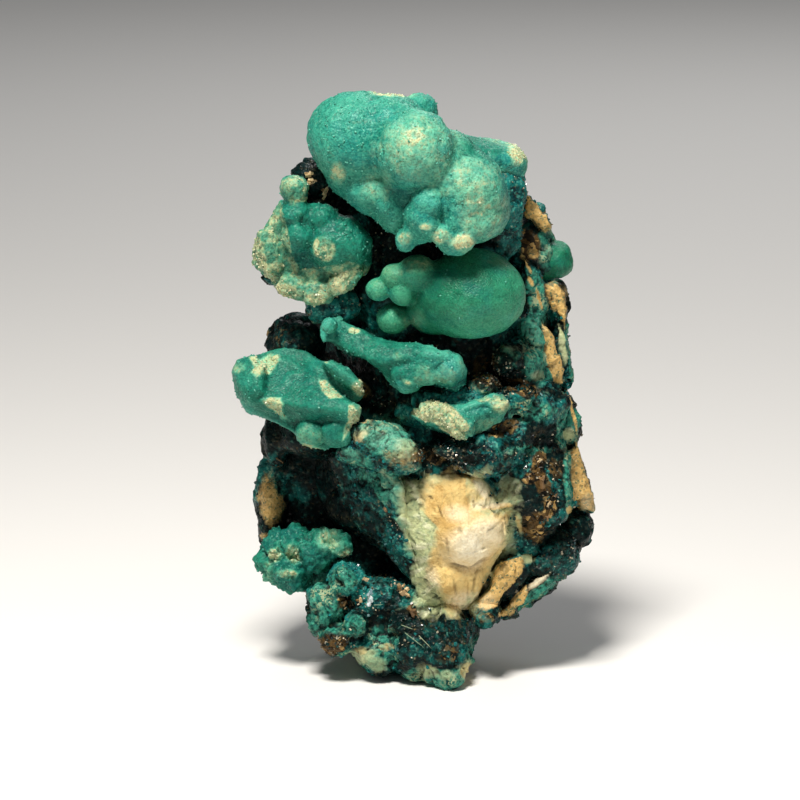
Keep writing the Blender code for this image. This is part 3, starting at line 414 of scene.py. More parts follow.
# Cream and pale patches of each growth, as they are seen from the front.
PALE_SPOTS = {
    "crown": spots(
        (-1.2, 28.35, 1.1, 0.22, -6, 0.9, 0.4), (-3.8, 24.4, 0.35, 0.5, 0, 0.7, 0.6),
        # The middle ball's pale centre is partly a painted highlight where the ball faces the lamps.
        (-1.85, 23.8, 0.8, 0.8, 0, 0.45, 0.7), (0.2, 25.6, 1.9, 1.6, 0, 0.5, 0.8),
        (0, 26, 0.9, 0.6, 20, 0.75, 0.9), (1.6, 26, 1, 0.9, 0, 0.35, 0.7),
        (4.95, 25.6, 0.5, 0.75, 15, 0.95, 0.3), (4.2, 26.05, 0.8, 0.2, -15, 0.5),
        (2.6, 24, 1.7, 1.1, 0, 0.5, 0.8), (3.2, 22.5, 1.3, 1.3, 0, 0.6, 0.8),
        (0.5, 21.75, 0.35, 0.2, 0, 0.8), (1.3, 21.3, 0.45, 0.35, 0, 0.8), (2.2, 21, 0.7, 0.4, 0, 0.8),
        (-0.5, 21.2, 0.35, 0.3, 0, 0.7), soft=0.5
    ),
    "rosette": spots(
        ([(-6.6, 23.3), (-6.45, 22.5), (-6.5, 21.4), (-6.1, 20.8), (-6.75, 20.15), (-6.35, 19.7),
         (-5.9, 20.3), (-5.6, 19.6), (-5, 19.2), (-4.3, 19.3), (-3.5, 19.9), (-2.8, 20.1), (-1.9, 19.9),
         (-2.4, 19.2), (-3.2, 18.5), (-4.2, 18.1), (-4.9, 17.8), (-5.9, 18), (-6.9, 18.3), (-7.6, 19.2),
         (-8.3, 20), (-8.3, 20.9), (-7.6, 22)], 0.6, 0.08),
        (-7.65, 20.6, 0.35, 1, 10, 0.95, 0.5), (-7, 21.9, 0.25, 0.6, -40, 0.85, 0.5),
        (-7.1, 19.4, 0.5, 0.3, -45, 1, 0.5), (-6.3, 18.75, 0.85, 0.4, -20), (-4.8, 18.4, 0.5, 0.4),
        (-3.4, 19.35, 0.9, 0.35, 38), (-4.4, 20.7, 0.62, 0.52, -15, 0.7, 0.2),
        (-5.9, 23.7, 0.75, 0.75, 0, 0.6, 0.2), (-5.5, 23.15, 0.5, 0.12, 10), soft=0.4
    ),
    "dome": spots(
        (0.2, 20, 0.8, 0.45, 0, 0.5), (-1.1, 19.6, 0.5, 0.4, 0, 0.4), (-1.9, 19, 0.4, 0.3, 0, 0.3),
        (3.9, 20.2, 1, 0.3, -15, 0.3, 0.7), (0, 17.2, 0.6, 0.6, 0, 0.35, 0.7), soft=0.6
    ),
    "upper_ledge": spots(
        (-3, 16.75, 0.32, 0.16, -10, 0.95, 0.4), (-0.9, 15.5, 0.3, 0.2, 0, 0.5, 0.6),
        (-0.5, 14.3, 0.35, 0.15, -20, 0.7, 0.6), (0.3, 14.6, 0.5, 0.6, 0, 0.35),
        (1.5, 14.6, 0.7, 0.5, 0, 0.35), (2.2, 15, 0.3, 0.5, 0, 0.35), soft=0.7
    ),
    "lower_ledge": spots(
        ([(-8.1, 15.45), (-7.6, 15.5), (-7.1, 15.75), (-6.7, 15.6), (-6.65, 15.3), (-6.9, 14.95),
         (-7.3, 14.6), (-7.75, 14.5), (-8.05, 14.75), (-7.9, 15.1)],),
        (-8.7, 15, 0.35, 0.3, 30, 0.6, 0.5),
        ([(-7.6, 13.45), (-7.1, 13.6), (-6.6, 13.55), (-6.4, 13.2), (-6.6, 12.8), (-6.3, 12.5),
         (-6.6, 12.45), (-7, 12.9), (-7.4, 13.15)],),
        ([(-4.75, 14.45), (-4.35, 14.4), (-3.9, 13.9), (-3.45, 13.5), (-3.6, 13.35), (-4.2, 13.4),
         (-4.55, 13.8)],),
        ([(-3.3, 13.2), (-2.8, 13), (-2.85, 12.4), (-3.2, 11.9), (-3.6, 11.4), (-3.5, 12), (-3.3, 12.5)],
         0.9),
        (-5, 11.6, 0.8, 0.5, -15, 0.4, 0.6), (-5.1, 11.15, 0.6, 0.08, -10, 0.8, 0.5),
        (-2.7, 14, 0.45, 0.4, -45, 0.95, 0.4), (-4.4, 15.3, 0.2, 0.1, -30, 0.6, 0.5)
    ),
    "saddle": spots(
        ([(-0.2, 12.75), (0.1, 13.3), (0.7, 13.7), (1.3, 13.5), (1.8, 13.1), (2.3, 12.7), (2.7, 12.1),
         (2.45, 11.5), (2, 11.6), (1.4, 11.9), (0.6, 12.2)], 1, 0.15),
        (4.15, 13.3, 0.45, 0.45, 0, 0.7, 0.5), (3.3, 13.5, 0.4, 0.15, 0, 0.6, 0.5),
        (3.2, 12, 0.9, 0.3, 20, 0.4, 0.6)
    ),
    "left_foot_crust": spots(
        (-6.97, 5.75, 0.35, 0.4, 0, 0.95), (-6, 5.7, 0.38, 0.5, 0, 0.95), (-6.3, 4.75, 0.4, 0.22, 0, 0.9),
        (-4.3, 6.4, 0.6, 0.5, 0, 0.6, 0.5), (-7.2, 4.9, 0.25, 0.6, 0, 0.5, 0.5),
        (-3.6, 5.9, 0.25, 0.2, 0, 0.8, 0.5), soft=0.3
    ),
    "rim_bud": spots((6.6, 20.6, 0.4, 0.35, 0, 0.25, 0.6)),
}
# Smoother, greener crust.
GREEN_SPOTS = {
    "dome": spots((2.2, 18.2, 6, 4)),
    "rim_bud": spots((7, 20.3, 2, 2)),
    "rosette": spots((-7.3, 20.8, 1.2, 2.4, 0, 0.5, 0.6), (-5.9, 23.7, 0.9, 0.9, 0, 0.6, 0.5)),
    "lower_ledge": spots((-5, 11.9, 2.4, 1, -20, 0.9, 0.6)),
    "left_foot_crust": spots((-4.2, 6.2, 1, 0.8, 0, 0.8, 0.5)),
}
# Where blue druse climbs onto a growth.
BLUE_GROWTH_SPOTS = {
    "crown": spots(
        (4.7, 23.6, 0.6, 1.8), (4.4, 25, 0.55, 0.35, -10), (-2.2, 27.1, 1.4, 0.5, 10, 0.3, 0.8),
        (-0.6, 23.4, 0.5, 1.2, 20, 0.4, 0.8), (1.5, 22.9, 0.5, 0.6, 0, 0.4, 0.8),
        (-3.6, 23.2, 0.8, 0.4, -40, 0.4, 0.8)
    ),
    "rosette": spots(
        ([(-6.8, 20.1), (-6, 20.5), (-5.9, 20.9), (-5.3, 20.8), (-4.9, 20.1), (-4.6, 19.8), (-5.3, 19.5),
         (-5.7, 20.2), (-6.2, 19.8)], 0.8, 0.3),
        (-4.2, 21.7, 0.8, 0.2, 20, 0.5, 0.6)
    ),
    "upper_ledge": spots((2.3, 14.1, 0.5, 0.5, 0, 0.8, 0.5), (1.3, 14, 0.6, 0.2, 0, 0.7, 0.5)),
    "left_foot_crust": spots(
        (-6.4, 6.8, 0.9, 0.4, 0, 0.8), (-5.2, 5.4, 0.6, 0.8, 0, 0.8), (-7.3, 6.2, 0.4, 0.4, 0, 0.8),
        (-4.1, 5.7, 0.6, 0.35, -20, 0.7), (-6.6, 5.3, 0.6, 0.2, 20, 0.7), (-5.9, 4.2, 0.7, 0.3, 0, 0.6),
        soft=0.5
    ),
    "saddle": spots((3.3, 12.9, 0.7, 0.4, 0, 0.5, 0.6)),
}
# Where each growth's colour is deeper: partly its own deeper tone, partly painted shade where less light
# falls, under the crown's lobes, on the dome's top below the crown and on the growths lower down.
DEEP_TONE_AND_SHADE_SPOTS = {
    "crown": spots(
        (3.1, 25.7, 1.4, 0.7, -10, 0.8, 0.4), (-1.2, 22.9, 1.2, 1, -40, 0.5), (-3, 24.6, 1.2, 1.6, 10, 0.3),
        (1.1, 22.3, 0.5, 0.5, 0, 0.5), soft=0.8
    ),
    "rosette": spots((-5, 21.3, 3.4, 3, 0, 0.9)),
    "dome": spots((1.8, 19.3, 3, 1.7, -10, 0.8, 0.8), (0.8, 17.9, 1.4, 1.4, 0, 0.8, 0.8)),
    "upper_ledge": spots(
        (-1.8, 15.8, 3, 1.4, -25, 0.8), (-1.6, 15.3, 3, 0.6, -32), (2.2, 14, 1.6, 0.7), soft=0.5
    ),
    "lower_ledge": spots(
        (-6, 14.4, 3.6, 2, -20, 0.8, 0.5), (-6.3, 12.9, 3.4, 0.9, -28), (-4.4, 12.2, 1.3, 1.6, 0, 0.9),
        soft=0.6
    ),
    "saddle": spots((1, 12, 2, 0.8, 0, 0.5, 0.6), (3.6, 12.6, 1.4, 0.6, 0, 0.5, 0.6)),
    "left_foot_crust": spots((-5.6, 5.6, 3.4, 2.4, 0, 0.8)),
    "rim_bud": spots((7, 20.2, 2, 2, 0, 0.9)),
}
# Each growth's lumps, the slot of its material, and in millimetres how softly its lumps run together and
# how far its noise, its round warts, its slanting facets and its grain stand out.
Growth = namedtuple("Growth", "lumps slot softness knobs warts facets grain")
GROWTHS = {
    "crown": Growth(CROWN, "crust", 0.13, 0.14, 0.10, 0.05, 0.03),
    "rosette": Growth(ROSETTE, "pale_crust", 0.08, 0.10, 0.08, 0.2, 0.06),
    "dome": Growth(DOME, "green_crust", 0.12, 0.14, 0.05, 0.04, 0.01),
    "upper_ledge": Growth(UPPER_LEDGE, "crust", 0.08, 0.18, 0.10, 0.18, 0.05),
    "lower_ledge": Growth(LOWER_LEDGE, "crust", 0.08, 0.14, 0.04, 0.12, 0.03),
    "saddle": Growth(SADDLE, "pale_crust", 0.08, 0.18, 0.12, 0.24, 0.05),
    "left_foot_crust": Growth(LEFT_FOOT_CRUST, "crust", 0.12, 0.32, 0.28, 0.38, 0.2),
    "rim_bud": Growth(RIM_BUD, "green_crust", 0.12, 0.12, 0.10, 0.12, 0.03),
}
# The rock's visible pieces: which groups of lumps each holds, its voxel, and how far its creases are filled.
ROCK_PIECES = {
    "rock_core": (("core", "left_wall", "back"), 0.144, 6),
    "rock_neck": (("neck", "rosette_bed"), 0.11, 9),
    "rock_right_rim": (("right_rim",), 0.085, 8),
    "rock_face": (("right_face", "shoulder"), 0.085, 12),
    "rock_cream_knob": (("cream_knob",), 0.08, 10),
    "rock_foot": (("foot",), 0.095, 12),
}


def grid_of_directions(count):
    """The points of a cube's six faces, each a grid of two parameters, pushed out to a ball."""
    line = np.tan(np.linspace(-np.pi / 4, np.pi / 4, count))
    a, b = (part.ravel() for part in np.meshgrid(line, line, indexing="ij"))
    one = np.ones_like(a)
    faces = [(one, a, b), (-one, b, a), (b, one, a), (a, -one, b), (a, b, one), (b, a, -one)]
    points = np.concatenate([np.stack(face, axis=1) for face in faces])
    points /= np.linalg.norm(points, axis=1, keepdims=True)
    corner = (np.arange(count - 1)[:, None] * count + np.arange(count - 1)).ravel()
    quads = np.stack([corner, corner + count, corner + count + 1, corner + 1], axis=1)
    return points, np.concatenate([quads + side * count * count for side in range(6)])


DIRECTIONS, QUADS = grid_of_directions(GRID)


def seen_place(right, up, front):
    """The points, +Z up, that are seen at right and up, and lie front of the origin."""
    return np.stack((right, -front, (up + front * sin(LOOK_DOWN)) / cos(LOOK_DOWN)), axis=-1)


def seen(points):
    """How far right and up each point is seen, and how far in front of the origin it lies."""
    right, away, up = points.T
    return right, up * cos(LOOK_DOWN) + away * sin(LOOK_DOWN), -away


def turning(degrees, first, second):
    """A matrix that turns the first axis towards the second."""
    matrix = np.eye(3)
    angle = radians(degrees)
    matrix[first, first] = matrix[second, second] = cos(angle)
    matrix[second, first] = sin(angle)
    matrix[first, second] = -sin(angle)
    return matrix


def middle_of(outline):
    """The middle of the area inside the outline."""
    corners = np.array(outline)
    after = np.roll(corners, -1, axis=0)
    area = corners[:, 0] * after[:, 1] - corners[:, 1] * after[:, 0]
    return ((corners + after) * area[:, None]).sum(axis=0) / (3 * area.sum())


def reach_of(outline, right, up):
    """How far the outline lies from its middle, in the direction of each offset (right, up) from there."""
    corners = np.array(outline) - middle_of(outline)
    far = np.maximum(np.hypot(right, up), 1e-9)
    x, y = right / far, up / far
    reach = np.full(len(far), 0.05)
    for start, end in zip(corners, np.roll(corners, -1, axis=0)):
        edge = end - start
        slant = x * edge[1] - y * edge[0]
        slant = np.where(np.abs(slant) < 1e-9, 1e-9, slant)
        meets = (start[0] * edge[1] - start[1] * edge[0]) / slant
        along = (start[0] * y - start[1] * x) / slant
        hit = (meets > 0) & (along > -1e-6) & (along < 1 + 1e-6)
        reach = np.where(hit, np.maximum(reach, meets), reach)
    return reach


def slab_depth(slab, right, up, ahead):
    """How thick the slab is at each offset from its middle: its face in front of the rim, else its back."""
    faces = [height + across * right + rise * up for height, across, rise in slab.planes]
    total = sum(np.exp(-face / PLANE_BLEND) for face in faces)
    return np.where(ahead, np.maximum(-PLANE_BLEND * np.log(total), THIN_EDGE), slab.back)


def slab_points(slab):
    """The slab's grid: each direction becomes a share of the outline's reach and a share of the depth."""
    x, away, z = DIRECTIONS.T
    flat = np.hypot(x, z)
    radius = (flat**slab.square + np.abs(away) ** slab.square) ** (-1 / slab.square)
    reach = reach_of(slab.outline, x, z)
    right, up = x * radius * reach, z * radius * reach
    front = -away * radius * slab_depth(slab, right, up, away < 0)
    front += slab.front + slab.lean[0] * right + slab.lean[1] * up
    middle = middle_of(slab.outline)
    return seen_place(middle[0] + right, middle[1] + up, front)


def lump_points(lump, rng):
    """The lump's grid: each direction times its squared radius, cut by chips, scaled, tipped and turned."""
    if isinstance(lump, Slab):
        return slab_points(lump)
    radius = (np.abs(DIRECTIONS) ** lump.square).sum(axis=1) ** (-1 / lump.square)
    if rng:
        for _ in range(CHIPS):
            normal = rng.normal(size=3)
            normal /= np.linalg.norm(normal)
            facing = np.maximum(DIRECTIONS @ normal, 1e-3)
            radius = np.minimum(radius, rng.uniform(*CHIP_DEPTHS) / facing)
    width, height, depth = lump.halves
    points = DIRECTIONS * radius[:, None] * (width, depth, height)
    points = points @ turning(lump.tip, 1, 2).T @ turning(lump.turn, 0, 2).T
    return points + seen_place(*lump.place)


def mesh_of(name, points, faces):
    """A mesh of these points and of faces that all have the same number of corners."""
    mesh = bpy.data.meshes.new(name)
    sides = faces.shape[1]
    mesh.vertices.add(len(points))
    mesh.vertices.foreach_set("co", np.asarray(points, np.float32).ravel())
    mesh.loops.add(faces.size)
    mesh.loops.foreach_set("vertex_index", faces.astype(np.int32).ravel())
    mesh.polygons.add(len(faces))
    mesh.polygons.foreach_set("loop_start", np.arange(0, faces.size, sides, dtype=np.int32))
    mesh.polygons.foreach_set("use_smooth", np.ones(len(faces), bool))
    mesh.update(calc_edges=True)
    mesh.validate()
    return mesh


def arrays_of(mesh):
    """The mesh's points and its faces, which all have four corners."""
    points = np.empty(len(mesh.vertices) * 3, np.float32)
    mesh.vertices.foreach_get("co", points)
    faces = np.empty(len(mesh.loops), np.int32)
    mesh.loops.foreach_get("vertex_index", faces)
    return points.reshape(-1, 3).astype(float), faces.reshape(-1, 4)


def fused(balls, voxel):
    """One closed skin of four-cornered faces around all the balls, from a voxel remesh."""
    count = len(DIRECTIONS)
    faces = np.concatenate([QUADS + index * count for index in range(len(balls))])
    obj = bpy.data.objects.new("balls", mesh_of("balls", np.concatenate(balls), faces))
    bpy.context.scene.collection.objects.link(obj)
    remesh = obj.modifiers.new("fuse", "REMESH")
    remesh.mode = "VOXEL"
    remesh.voxel_size = voxel
    bpy.context.view_layer.update()
    graph = bpy.context.evaluated_depsgraph_get()
    skin = obj.evaluated_get(graph).to_mesh()
    points, faces = arrays_of(skin)
    obj.evaluated_get(graph).to_mesh_clear()
    bpy.data.objects.remove(obj)
    return points, faces


def relaxed(points, faces, steps):
    """Each point moved halfway to the middle of the points that it shares an edge with, several times."""
    ends = np.concatenate([faces[:, [0, 1]], faces[:, [1, 2]], faces[:, [2, 3]], faces[:, [3, 0]]])
    share = np.bincount(ends[:, 0], minlength=len(points))[:, None]
    for _ in range(steps):
        pulled = [np.bincount(ends[:, 0], points[ends[:, 1], axis], len(points)) for axis in range(3)]
        points = (points + np.stack(pulled, axis=1) / share) / 2
    return points


def normals_of(points, faces):
    """Each point's outward normal: the sum of its faces' cross products, made a unit long."""
    a, b, c, d = (points[faces[:, corner]] for corner in range(4))
    across = np.cross(c - a, d - b)
    total = np.zeros_like(points)
    for corner in range(4):
        for axis in range(3):
            total[:, axis] += np.bincount(faces[:, corner], across[:, axis], len(points))
    return total / np.maximum(np.linalg.norm(total, axis=1, keepdims=True), 1e-12)


def hashed(cells, salt):
    """A repeatable number from 0 to 1 for each cell of whole numbers."""
    right, away, up = (cells[..., axis] for axis in range(3))
    mixed = right * 73856093 ^ away * 19349663 ^ up * 83492791 ^ salt * 40503
    mixed = (mixed ^ mixed >> 13) * 1274126177 & 0xFFFFFFFF
    mixed = (mixed ^ mixed >> 15) * 2246822519 & 0xFFFFFFFF
    return ((mixed ^ mixed >> 16) & 0xFFFF) / 65535.0


def smooth_noise(points, size, salt):
    """Noise from -1 to 1 whose lumps are about size across: random corners of a grid, blended."""
    place = points / size
    cell = np.floor(place).astype(np.int64)
    part = place - cell
    part = part * part * part * (part * (part * 6 - 15) + 10)
    total = np.zeros(len(points))
    for x in (0, 1):
        for y in (0, 1):
            for z in (0, 1):
                share = np.prod(np.where((x, y, z), part, 1 - part), axis=1)
                total += share * hashed(cell + (x, y, z), salt)
    return total * 2 - 1


def layered_noise(points, size, salt, layers=4):
    """Smooth noise plus finer and finer noise at half the strength each time."""
    total = np.zeros(len(points))
    for layer in range(layers):
        total += smooth_noise(points, size / 2**layer, salt + layer) / 2**layer
    return total / (2 - 2.0 ** (1 - layers))


def grains(points, size, salt):
    """Scattered seeds: distance to the nearest and to the second nearest, a number for the nearest one,
    and a slope, which is the offset from that seed along a random direction of its own. All in sizes."""
    place = points / size
    cell = np.floor(place).astype(np.int64)
    nearest = np.full(len(points), 9.0)
    second = np.full(len(points), 9.0)
    home = cell.copy()
    for x in (-1, 0, 1):
        for y in (-1, 0, 1):
            for z in (-1, 0, 1):
                corner = cell + (x, y, z)
                seed = corner + np.stack([hashed(corner, salt + axis) for axis in range(3)], axis=1)
                away = np.sqrt(((place - seed) ** 2).sum(axis=1))
                closer = away < nearest
                second = np.where(closer, nearest, np.minimum(second, away))
                home[closer] = corner[closer]
                nearest = np.minimum(nearest, away)
    seed = home + np.stack([hashed(home, salt + axis) for axis in range(3)], axis=1)
    direction = np.stack([hashed(home, salt + axis) for axis in (4, 5, 6)], axis=1) * 2 - 1
    slope = ((place - seed) * direction).sum(axis=1)
    return nearest, second, hashed(home, salt + 3), slope


def ramp(value, low, high):
    """0 below low, 1 above high, and a smooth slope between."""
    part = np.clip((value - low) / (high - low), 0, 1)
    return part * part * (3 - 2 * part)


def spot_mask(points, marks, ragged, salt):
    """Each spot's strength inside it, as it is seen from the front, with a soft and ragged edge."""
    right, up, front = seen(points)
    wander = layered_noise(points, 0.9, salt) * ragged
    total = np.zeros(len(points))
    for spot in marks:
        if isinstance(spot, Patch):
            middle = middle_of(spot.outline)
            across, rise = right - middle[0], up - middle[1]
            far = np.hypot(across, rise)
            share = far / reach_of(spot.outline, across, rise) + wander * 0.7
        else:
            across, rise = right - spot.place[0], up - spot.place[1]
            level, slant = cos(radians(spot.turn)), sin(radians(spot.turn))
            along, over = across * level + rise * slant, rise * level - across * slant
            share = np.hypot(along / spot.halves[0], over / spot.halves[1]) + wander
        inside = 1 - ramp(share, 1 - spot.soft, 1 + spot.soft)
        total = np.maximum(total, spot.strength * inside)
    return total * ramp(front, *SPOT_FADE)


def share_of(points, lump):
    """How far out each point lies, 1 on the lump's surface and less inside, and how far from its middle."""
    if isinstance(lump, Slab):
        middle = middle_of(lump.outline)
        right, up, front = seen(points)
        right, up = right - middle[0], up - middle[1]
        front = front - lump.front - lump.lean[0] * right - lump.lean[1] * up
        wide = np.hypot(right, up) / reach_of(lump.outline, right, up)
        deep = np.abs(front) / slab_depth(lump, right, up, front > 0)
        far = np.sqrt(right**2 + up**2 + front**2)
        return (wide**lump.square + deep**lump.square) ** (1 / lump.square), far
    away = (points - seen_place(*lump.place)) @ turning(lump.turn, 0, 2) @ turning(lump.tip, 1, 2)
    width, height, depth = lump.halves
    share = (np.abs(away / (width, depth, height)) ** lump.square).sum(axis=1) ** (1 / lump.square)
    return share, np.linalg.norm(away, axis=1)


def blended(points, faces, lumps, softness):
    """The lumps' hard union made a smooth one: each point moves out to where the smooth least distance is 0.

    distance to a lump = (distance from its middle) * (1 - 1 / share), and
    smooth least distance = -softness * log(sum of exp(-distance / softness))
    """
    for _ in range(3):
        normals = normals_of(points, faces)
        total = np.zeros(len(points))
        for lump in lumps:
            share, far = share_of(points, lump)
            distance = far * (1 - 1 / np.maximum(share, 0.05))
            total += np.exp(-np.clip(distance / softness, -30, 30))
        points = points + normals * np.clip(softness * np.log(total), 0, 0.5)[:, None]
    return points


def filled(points, faces, steps):
    """Creases filled: as relaxed, but a point only ever moves outwards, so bumps keep their height."""
    for _ in range(steps):
        normals = normals_of(points, faces)
        step = ((relaxed(points, faces, 1) - points) * normals).sum(axis=1)
        points = points + normals * np.maximum(step, 0)[:, None]
    return points


def hollows(points, faces, normals, steps, depth):
    """From -1 on a ridge to 1 in a pit: how far relaxing moves each point outwards, over the depth."""
    moved = ((relaxed(points, faces, steps) - points) * normals).sum(axis=1)
    return np.clip(moved / depth, -1, 1)


class SpecimenColours(PropertyGroup):
    """The colours that the crusts and the rock are mixed from."""

    def colour(name, description, value):
        return FloatVectorProperty(name=name, description=description, subtype="COLOR", size=3,
                                   min=0.0, max=1.0, default=value)

    crust: colour("Crust", "Blue-green of the frosted crusts", (0.003, 0.20, 0.142))
    # This colour is a painted highlight on the crust's ridges. It is also the crust's paler blotches and
    # frost grains, and a mottle on the rock's teal crust.
    crust_light_and_highlight: colour("Crust highlights", "Paler blue-green on the crust's ridges", (0.085, 0.42, 0.29))
    # This colour is painted shade in the crust's hollows. It is also the crust's darker blotches and frost
    # grains.
    crust_deep_and_shade: colour("Crust hollows", "Deep blue-green in the crust's hollows", (0.001, 0.075, 0.060))
    green: colour("Green crust", "Sea green of the smooth dome", (0.012, 0.23, 0.128))
    pale: colour("Pale crust", "Grey-green of the crust's pale patches", (0.20, 0.34, 0.18))
    pale_crystal: colour("Pale crystals", "Cream crystals in the pale patches", (0.58, 0.53, 0.28))
    cream: colour("Cream", "Cream of the knob", (0.68, 0.50, 0.20))
    gold: colour("Gold", "Golden cream of the strips and the rim", (0.66, 0.43, 0.15))
    tan: colour("Tan", "Brown shade in the cream", (0.42, 0.24, 0.07))
    blue: colour("Blue druse", "Blue of the fine druse", (0.009, 0.19, 0.165))
    # This colour is painted shade between the druse's crystals and in the pits of the rock's teal crust. It
    # is also darker grains in that crust.
    blue_deep_and_shade: colour("Blue druse hollows", "Deep blue between the druse's crystals", (0.001, 0.018, 0.026))
    teal: colour("Teal druse", "Teal of the thin crust on the rock", (0.006, 0.12, 0.085))
    dark: colour("Dark rock", "Green-black of the rock", (0.001, 0.0035, 0.003))
    rust: colour("Rust", "Rusty brown of the crystal seams", (0.13, 0.075, 0.025))


class SpecimenDetail(PropertyGroup):
    """How fine the surfaces are and how many crystals grow on them."""

    def count(name, description, value):
        return IntProperty(name=name, description=description, default=value, min=0)

    druse_count: count("Druse crystals", "Small crystals on the dark and on the blue rock, each", 1400)
    glitter_count: count("Glitter", "Tiny bright crystals in the dark seams", 1400)
    sugar_count: count("Sugary crystals", "Tiny crystals on the pale crust", 1500)
    frost_count: count("Frost crystals", "Tiny crystals on the blue-green crust", 1500)
    rust_count: count("Rusty crystals", "Brown crystals in the rock's seams", 900)
    relief: FloatProperty(name="Relief", description="Strength of the noise that roughens the rock",
                          default=1.0, min=0.0, max=2.0)


def store(mesh, **masks):
    """Keeps each mask on the mesh's points, where the materials read it."""
    for name, values in masks.items():
        layer = mesh.attributes.new(name, "FLOAT", "POINT")
        layer.data.foreach_set("value", np.asarray(values, np.float32))


def placed(name, mesh, material, slot, node=None):
    """The finished piece: its mesh with its material, riding on the specimen in place of the node."""
    mesh.materials.append(material)
    obj = bpy.data.objects.new(name, mesh)
    bpy.context.scene.collection.objects.link(obj)
    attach(obj, "root")
    if node:
        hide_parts(node)


def bent(points, size, strength):
    """The points shifted by smooth noise, so that patterns made from them have no straight edges."""
    shift = [layered_noise(points, size, salt, 2) for salt in (91, 92, 93)]
    return points + strength * np.stack(shift, axis=1)


def growth_piece(name, growth, material):
    """Lumps fused to one skin, then pushed along its normals.

    push = knobs * layered noise + warts * (a half ball around each seed) + facets * (the seed's slope)
    + grain * (a cone around each fine seed), where warts and grain are stronger in the pale patches
    """
    points, faces = fused([lump_points(lump, None) for lump in growth.lumps], GROWTH_VOXEL)
    points = blended(points, faces, growth.lumps, growth.softness)
    points = filled(relaxed(points, faces, 3), faces, 4)
    normals = normals_of(points, faces)
    pale = spot_mask(points, PALE_SPOTS[name], 0.4, 61)
    turned_away = 1 - ramp(normals @ TOWARDS_EYE, -0.4, 0)
    pale = np.maximum(pale, turned_away * ramp(layered_noise(points, 1.4, 71), 0.25, 0.45))
    wart, _, size, _ = grains(bent(points, 0.7, 0.12), WART_SIZE, 21)
    near, second, _, slope = grains(bent(points, 1, 0.15), FACET_SIZE, 41)
    slope *= ramp(second - near, 0, 0.3)
    speck, _, _, tilt = grains(points, GRAIN_SIZE, 31)
    knobbly = 0.4 + 0.6 * ramp(layered_noise(points, 2.2, 12, 2), -0.2, 0.4) + 0.5 * pale
    push = growth.knobs * layered_noise(points, KNOB_SIZE, 11, 3)
    push += growth.warts * knobbly * (0.3 + size) * (np.sqrt(np.maximum(1 - (wart / 0.8) ** 2, 0)) - 0.6)
    push += growth.facets * (0.8 + 0.6 * pale) * slope
    push += growth.grain * (0.7 + 1.3 * pale) * (0.5 - speck + 0.4 * tilt)
    push += growth.grain * layered_noise(points, 0.4, 15, 2)
    points = points + normals * push[:, None]
    normals = normals_of(points, faces)
    green = spot_mask(points, GREEN_SPOTS.get(name, []), 0.3, 62)
    mesh = mesh_of("visible_" + name, points * METRES, faces)
    store(
        mesh,
        pale=pale * (0.75 + 0.5 * ramp(layered_noise(points, 0.35, 64, 2), -0.3, 0.3)),
        # The deep mask: the deeper tone and painted shade of the growth's deep spots, and half as deep on the
        # sides turned away from the front.
        deep=np.maximum(spot_mask(points, DEEP_TONE_AND_SHADE_SPOTS[name], 0.4, 66), 0.5 * turned_away),
        blue=spot_mask(points, BLUE_GROWTH_SPOTS.get(name, []), 0.5, 63),
        # hollow and dip are read by the crust materials for painted highlights on ridges and painted shade in
        # hollows.
        hollow=hollows(points, faces, normals, 12, 0.05),
        dip=hollows(points, faces, normals, 60, 0.22),
    )
    placed("visible_" + name, mesh, material, growth.slot, name)
    return {"points": points, "normals": normals, "pale": pale, "green": green}


def rock_masks(points, normals, shifted):
    """The rock's colours: spots where it faces the front, and patches of noise where it faces away."""
    away = 1 - np.minimum(ramp(seen(points)[2], *AWAY_FADE), ramp(normals @ TOWARDS_EYE, -0.3, 0.15))
    patch = [layered_noise(shifted, size, salt) for size, salt in ((2, 81), (1.5, 82), (1.6, 83), (2.2, 84))]
    masks = {name: spot_mask(points, *given) for name, given in ROCK_SPOTS.items()}
    masks["gold"] = np.maximum(masks["gold"] * (1 - 0.8 * away), away * ramp(patch[0], 0.2, 0.34))
    masks["halo"] *= 1 - 0.6 * away
    masks["teal"] = np.maximum(masks["teal"] * (1 - 0.5 * away), away * ramp(patch[1], 0.1, 0.3))
    masks["blue"] = np.maximum(masks["blue"], ramp(patch[2], 0, 0.3) * 0.8)
    masks["rust"] = np.maximum(masks["rust"], away * ramp(patch[3], 0.2, 0.4) * 0.8)
    # Dark spots clear the other colours, leaving bare dark rock: partly painted shade in the deep gaps.
    for name in ("gold", "halo", "teal", "blue"):
        masks[name] *= 1 - 0.85 * masks["dark"]
    return {**masks, "away": away}


def fan_noise(points, size, salt):
    """Noise drawn out into fibres that spread from the middle of the cream knob, as seen from the front."""
    right, up, front = seen(points)
    across, rise = right - FAN_CENTRE[0], up - FAN_CENTRE[1]
    far = np.hypot(across, rise)
    round_it = np.stack([across, rise], axis=1) / np.maximum(far, 0.2)[:, None]
    fibres = layered_noise(np.column_stack([round_it * 3.2, far * 0.3 + front * 0.1]), size, salt, 3)
    drawn_out = ramp(far, 0.6, 2.4) * (1 - ramp(far, 3.8, 5))
    return fibres * drawn_out + 0.6 * layered_noise(points, 0.45, salt + 9, 3) * (1 - drawn_out)


